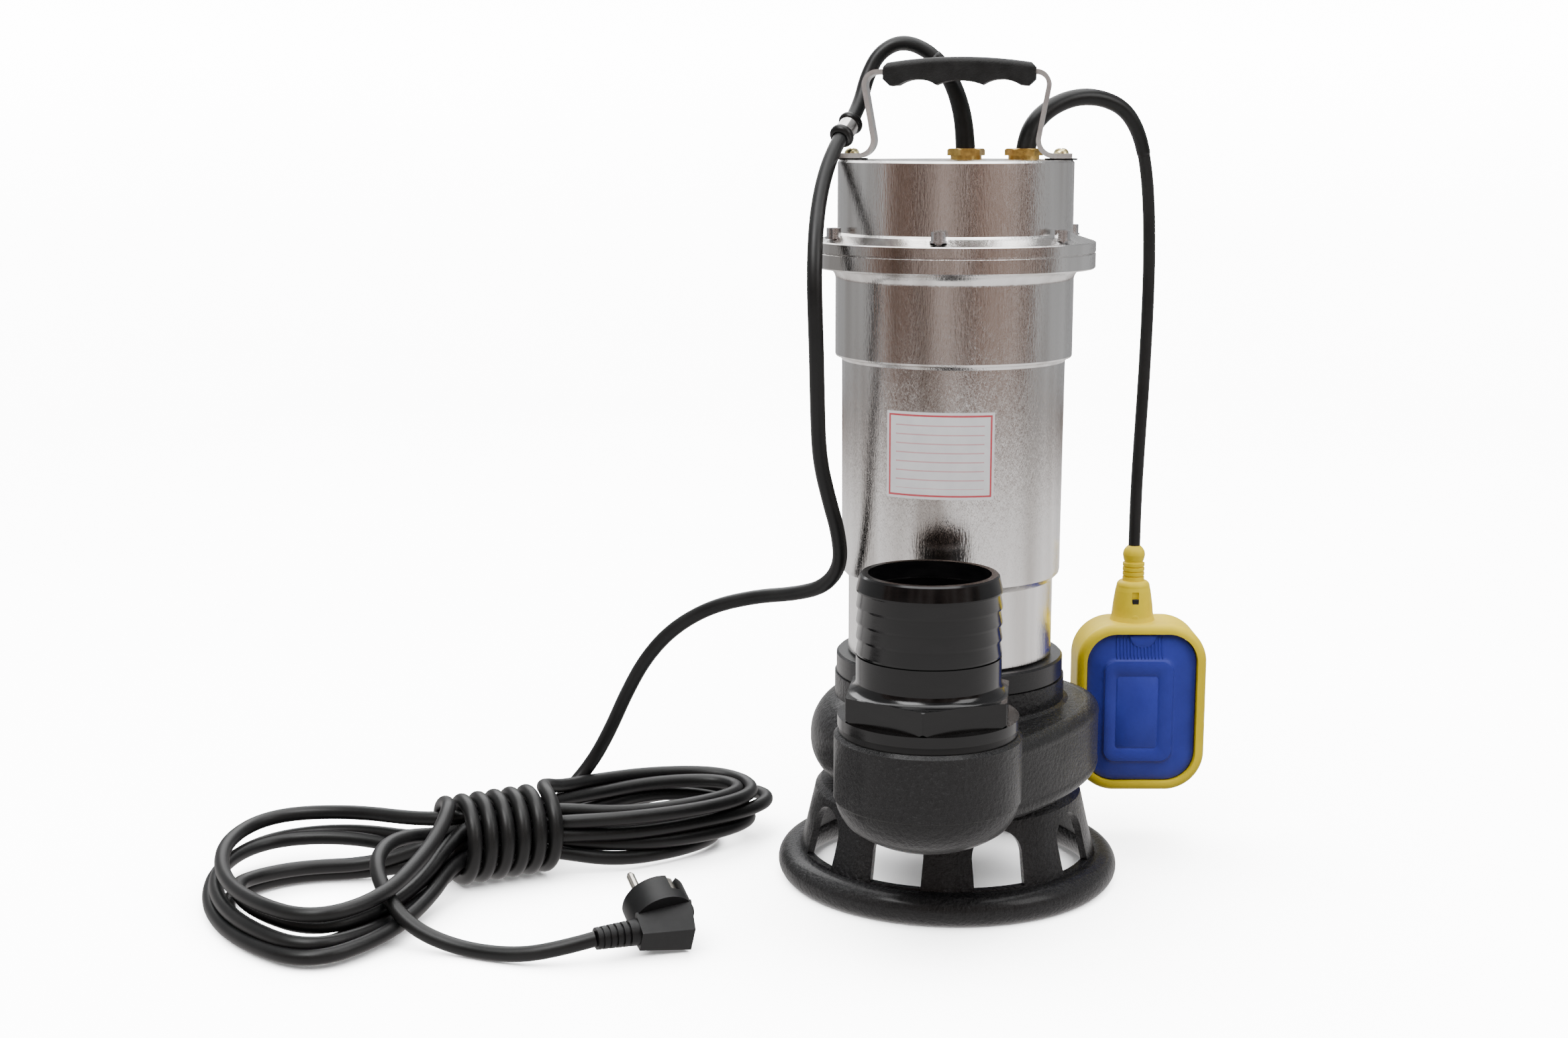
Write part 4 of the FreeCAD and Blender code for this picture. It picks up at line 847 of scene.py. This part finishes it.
def white_card():
    """Pale studio wall behind the pump, slightly uneven."""
    look = glowing("white_card", 0.50)
    look.glow(look.ramp(look.noise(0.8, 2, 0.5), (0.3, (0.80, 0.80, 0.82)), (0.7, (1.0, 1.0, 1.0))))
    return look.material


def white_table():
    """White near the pump, fading to brown where the table ends."""
    look = glowing("white_table", 1.15)
    near = look.node("ShaderNodeTexGradient", Vector=look.stretched(1 / TABLE_R, 1 / TABLE_R, 1.0))
    near.gradient_type = "SPHERICAL"
    look.glow(look.ramp(near.outputs["Fac"], (0.05, (0.14, 0.095, 0.075)), (0.46, (1.0, 0.97, 0.96))))
    return look.material


def reflected(name, vertices, faces, material):
    """Stage piece that only the glossy parts see."""
    made = staged(name, vertices, faces, material)
    made.visible_camera = False
    made.visible_diffuse = False
    made.visible_shadow = False


def screen(name, first_deg, last_deg, material):
    """Part of a round wall, for the steel to reflect."""
    vertices, faces = [], []
    for k in range(ROOM_STEPS + 1):
        a = math.radians(first_deg + (last_deg - first_deg) * k / ROOM_STEPS)
        for z in ROOM_Z:
            vertices.append((ROOM_R * math.cos(a), ROOM_R * math.sin(a), z))
    for k in range(ROOM_STEPS):
        faces.append((2 * k, 2 * k + 2, 2 * k + 3, 2 * k + 1))
    reflected(name, vertices, faces, material)


def make_room():
    first, last = ROOM_FRONT_DEG
    screen("room", first, last, room_look())
    screen("white_screen", last, first + 360.0, white_card())
    rim = [(x, y, TABLE_Z) for x, y in circle(TABLE_R, TABLE_SIDES)]
    reflected("white_table", rim, [tuple(range(TABLE_SIDES))], white_table())


def floor_sun(sweep):
    """Soft light from above that falls on the floor alone, so that it is white and still takes shadows."""
    sun = bpy.data.lights.new("floor_sun", "SUN")
    sun.energy = FLOOR_SUN
    sun.angle = math.radians(FLOOR_SUN_SPREAD_DEG)
    made = bpy.data.objects.new("floor_sun", sun)
    bpy.context.scene.collection.objects.link(made)
    lit = bpy.data.collections.new("floor_only")
    lit.objects.link(sweep)
    made.light_linking.receiver_collection = lit


def make_stage():
    floor_sun(make_sweep())
    make_room()
    for name, values in LIGHTS.items():
        area_light(name, *values)
    world = bpy.data.worlds.new("studio")
    bpy.context.scene.world = world
    world.use_nodes = True
    background = world.node_tree.nodes["Background"]
    background.inputs["Color"].default_value = (1.0, 1.0, 1.0, 1.0)
    background.inputs["Strength"].default_value = WORLD_LIGHT


make_camera()
make_stage()


# ---- cords and what is on them
CORD_LOOK = cord_sheath()
SLEEVE_LOOK = rubber("sleeve_rubber", 0.0032, 0.0080, 0.30, 0.46)
GROMMET_LOOK = rubber("grommet_rubber", 0.0030, 0.0068, 0.28, 0.44)


def sleeve(name, line, size, node):
    """Tapered rubber sleeve round the start of a cord, with a rounded lip."""
    start_r, end_r, length = size
    part = first_part(line, length)
    total = length_of(part)
    radii = []
    gone = 0.0
    for i, point in enumerate(part):
        if i:
            gone += (point - part[i - 1]).length
        radii.append(start_r + (end_r - start_r) * gone / total)
    part.append(part[-1] + (part[-1] - part[-2]).normalized() * SLEEVE_LIP)
    radii.append(radii[-1] - SLEEVE_LIP_DEPTH)
    vertices, faces = bridged(swept(part, radii))
    piece = mesh_piece(name, vertices, faces, SLEEVE_LOOK)
    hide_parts(node)


def make_cords():
    hank = hank_points()
    mains_points = [Vector(p) for p in MAINS_ROUTE] + hank + [Vector(p) for p in TAIL_ROUTE]
    # the wraps are left as they are; after them come their end, a turn less its first point, and one pass
    wraps_end = len(MAINS_ROUTE) + len(hank) - len(WRAP_END) - len(RIGHT_BEND) - 1
    wraps = range(wraps_end - WRAP_TURNS * WRAP_POINTS - 1, wraps_end)
    mains_points = settle(mains_points, len(MAINS_ROUTE) - SETTLE_BEFORE_HANK,
                          len(mains_points) - SETTLE_STILL_AT_PLUG, wraps)
    mains = nurbs("mains_lead", mains_points, MAINS_D / 2, CORD_LOOK)
    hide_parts("mains_cord", "mains_hank", "mains_tail")
    mains_line = centre_line(mains)
    float_lead = nurbs("float_lead", FLOAT_ROUTE, FLOAT_D / 2, CORD_LOOK)
    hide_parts("float_cord")
    float_line = centre_line(float_lead)
    sleeve("mains_gland_sleeve", mains_line, MAINS_SLEEVE, "mains_sleeve")
    sleeve("float_gland_sleeve", float_line, FLOAT_SLEEVE, "float_sleeve")


make_cords()


# ---- float
YELLOW = moulded("float_yellow", (0.78, 0.570, 0.006), (0.93, 0.700, 0.014), 0.34, 0.50, 0.22)
BLUE = moulded("float_blue", (0.022, 0.031, 0.270), (0.036, 0.050, 0.400), 0.34, 0.50, 0.28)
FLOAT_MIDDLE_Y = sum(corner.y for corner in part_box("float_shell")) / 2


def outline(shape, per_corner=10):
    """Points (x, z) round a rounded rectangle."""
    points = []
    for sx, sz, start in ((1, 1, 0), (-1, 1, 90), (-1, -1, 180), (1, -1, 270)):
        for k in range(per_corner + 1):
            a = math.radians(start + 90.0 * k / per_corner)
            points.append((shape.x + sx * (shape.half_w - shape.corner) + shape.corner * math.cos(a),
                           shape.z + sz * (shape.half_h - shape.corner) + shape.corner * math.sin(a)))
    return points


def slope_depth(share):
    """Depth of the cover's slope, a share of the way from its rim to its pad."""
    return COVER_DEPTHS["rim"] + (COVER_DEPTHS["pad"] - COVER_ROUND - COVER_DEPTHS["rim"]) * share


def float_cover(side):
    """One blue half: a soft-edged slope up to the pad, with a fine pressed line."""
    rim, pad, line = outline(COVER_RIM), outline(COVER_PAD), outline(COVER_LINE)
    deep, edge, top = COVER_DEPTHS["hidden"], COVER_DEPTHS["rim"], COVER_DEPTHS["pad"]
    rings = []

    def add(first, second, share, depth):
        y = FLOAT_MIDDLE_Y + side * depth
        rings.append([Vector((a[0] + (b[0] - a[0]) * share, y, a[1] + (b[1] - a[1]) * share))
                      for a, b in zip(first, second)])

    add(rim, pad, 0.0, deep)
    for share, below in RIM_RINGS:
        add(rim, pad, share, edge - below)
    for k in range(1, SLOPE_RINGS + 1):
        share = SLOPE_START + SLOPE_SHARE * k / SLOPE_RINGS
        add(rim, pad, share, slope_depth(share))
    for share, below in PAD_RINGS:
        add(rim, pad, share, top - below)
    for share, below in LINE_RINGS:
        add(pad, line, share, top - below)
    vertices, faces = bridged(rings)
    name = "float_front_skin" if side < 0 else "float_back_skin"
    piece = mesh_piece(name, vertices, faces, BLUE, "float")
    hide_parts("float_front_cover" if side < 0 else "float_back_cover")


def cover_ribs(side):
    """Fine upright ribs on the slope over the pad, and the half-round tab under the neck."""
    skins = []
    for k in range(COVER_RIBS):
        x = COVER_RIB_X + (k - (COVER_RIBS - 1) / 2) * COVER_RIB_PITCH
        line = []
        for step in range(len(RIB_RADII)):
            share = RIB_START + RIB_SHARE * step / (len(RIB_RADII) - 1)
            y = FLOAT_MIDDLE_Y + side * slope_depth(share)
            line.append(Vector((x, y, COVER_TOP_Z + (PAD_TOP_Z - COVER_TOP_Z) * share)))
        skins.append(bridged(swept(line, RIB_RADII, 10)))
    rings = []
    for inset, depth in TAB_STEPS:
        radius = COVER_TAB_R - inset
        ring = []
        for k in range(HALF_ROUND_STEPS + 1):
            a = math.pi + math.pi * k / HALF_ROUND_STEPS
            ring.append(Vector((COVER_RIM.x + radius * math.cos(a), FLOAT_MIDDLE_Y + side * depth,
                                COVER_TOP_Z - TAB_TUCK + radius * math.sin(a))))
        rings.append(ring)
    skins.append(bridged(rings))
    vertices, faces = joined(skins)
    piece = mesh_piece("float_front_ribs" if side < 0 else "float_back_ribs", vertices, faces, BLUE, "float")


def neck_marks():
    """Dark catch behind the neck's window, and the round ejector mark below it."""
    x, y, z = WINDOW_MIDDLE
    rings = []
    for inset, back in CATCH_STEPS:
        half_w, half_h = (half - inset for half in CATCH_HALF)
        rings.append([Vector((x + u * half_w, y + back, z - CATCH_BELOW + v * half_h))
                      for u, v in CATCH_SHAPE])
    vertices, faces = bridged(rings)
    catch = mesh_piece("neck_catch", vertices, faces, GROMMET_LOOK, "float", smooth=False)
    rings = []
    # the mark follows the neck's bell, which is round
    for radius, out in MARK_STEPS:
        bell_y = FLOAT_MIDDLE_Y - BELL_R - out
        rings.append([Vector((x + across, bell_y + across ** 2 / (2 * BELL_R), MARK_Z + up))
                      for across, up in circle(radius, MARK_SIDES)])
    vertices, faces = bridged(rings)
    mark = mesh_piece("neck_mark", vertices, faces, YELLOW, "float")


for cover_side in (-1, 1):
    float_cover(cover_side)
    cover_ribs(cover_side)
neck_marks()


# ---- looks of the CAD nodes
LOOKS = {
    stainless(): ["motor_housing", "top_cover"],
    cast_enamel(): ["strainer_base", "volute_casing", "impeller"],
    satin_enamel(): ["pump_cover"],
    gloss_plastic(): ["hose_tail"],
    GROMMET_LOOK: ["collar_grommets", "discharge_gasket", "casing_gasket", "cover_oring", "handle_pads"],
    grip_plastic(): ["handle_grip"],
    strap_steel(): ["handle_strap"],
    brass(): ["mains_gland", "float_gland"],
    yellow_zinc(): ["handle_screws"],
    polished_chrome(): ["collar_tube"],
    bright_steel(): [
        "flange_screws", "flange_washers", "base_screws", "casing_screws", "housing_screws", "impeller_nut",
        "impeller_key", "seal_spring", "shaft", "lower_bearing_outer", "lower_bearing_inner",
        "lower_bearing_balls", "upper_bearing_outer", "upper_bearing_inner", "upper_bearing_balls",
        "capacitor_clamp", "float_ball"],
    bright_steel("cast_aluminium", (0.55, 0.55, 0.56), 0.4, 0.6): [
        "rotor_end_rings", "upper_bearing_housing"],
    bright_steel("nickel", (0.74, 0.70, 0.62), 0.1, 0.25): ["plug_pins", "plug_earth_clips"],
    laminations(): ["rotor_core", "stator_core"],
    copper_winding(): ["stator_windings"],
    moulded("ceramic", (0.74, 0.72, 0.68), (0.85, 0.84, 0.80), 0.12, 0.24, 0.6): ["seal_seat"],
    moulded("carbon", (0.012, 0.012, 0.014), (0.03, 0.03, 0.033), 0.3, 0.5): ["seal_face"],
    YELLOW: ["float_shell", "float_neck"],
    BLUE: ["float_front_cover", "float_back_cover"],
    moulded("plug_plastic", (0.0034, 0.0034, 0.0038), (0.0095, 0.0095, 0.0100), 0.36, 0.54, 0.3): [
        "plug_body"],
    moulded("white_plastic", (0.62, 0.62, 0.60), (0.76, 0.76, 0.74), 0.35, 0.5): [
        "capacitor", "terminal_block", "float_ball_tube", "float_microswitch"],
    label_film(): ["label"],
}


def dress_nodes():
    for look, names in LOOKS.items():
        for name in names:
            NODES[name].data.materials.clear()
            NODES[name].data.materials.append(look)


dress_nodes()
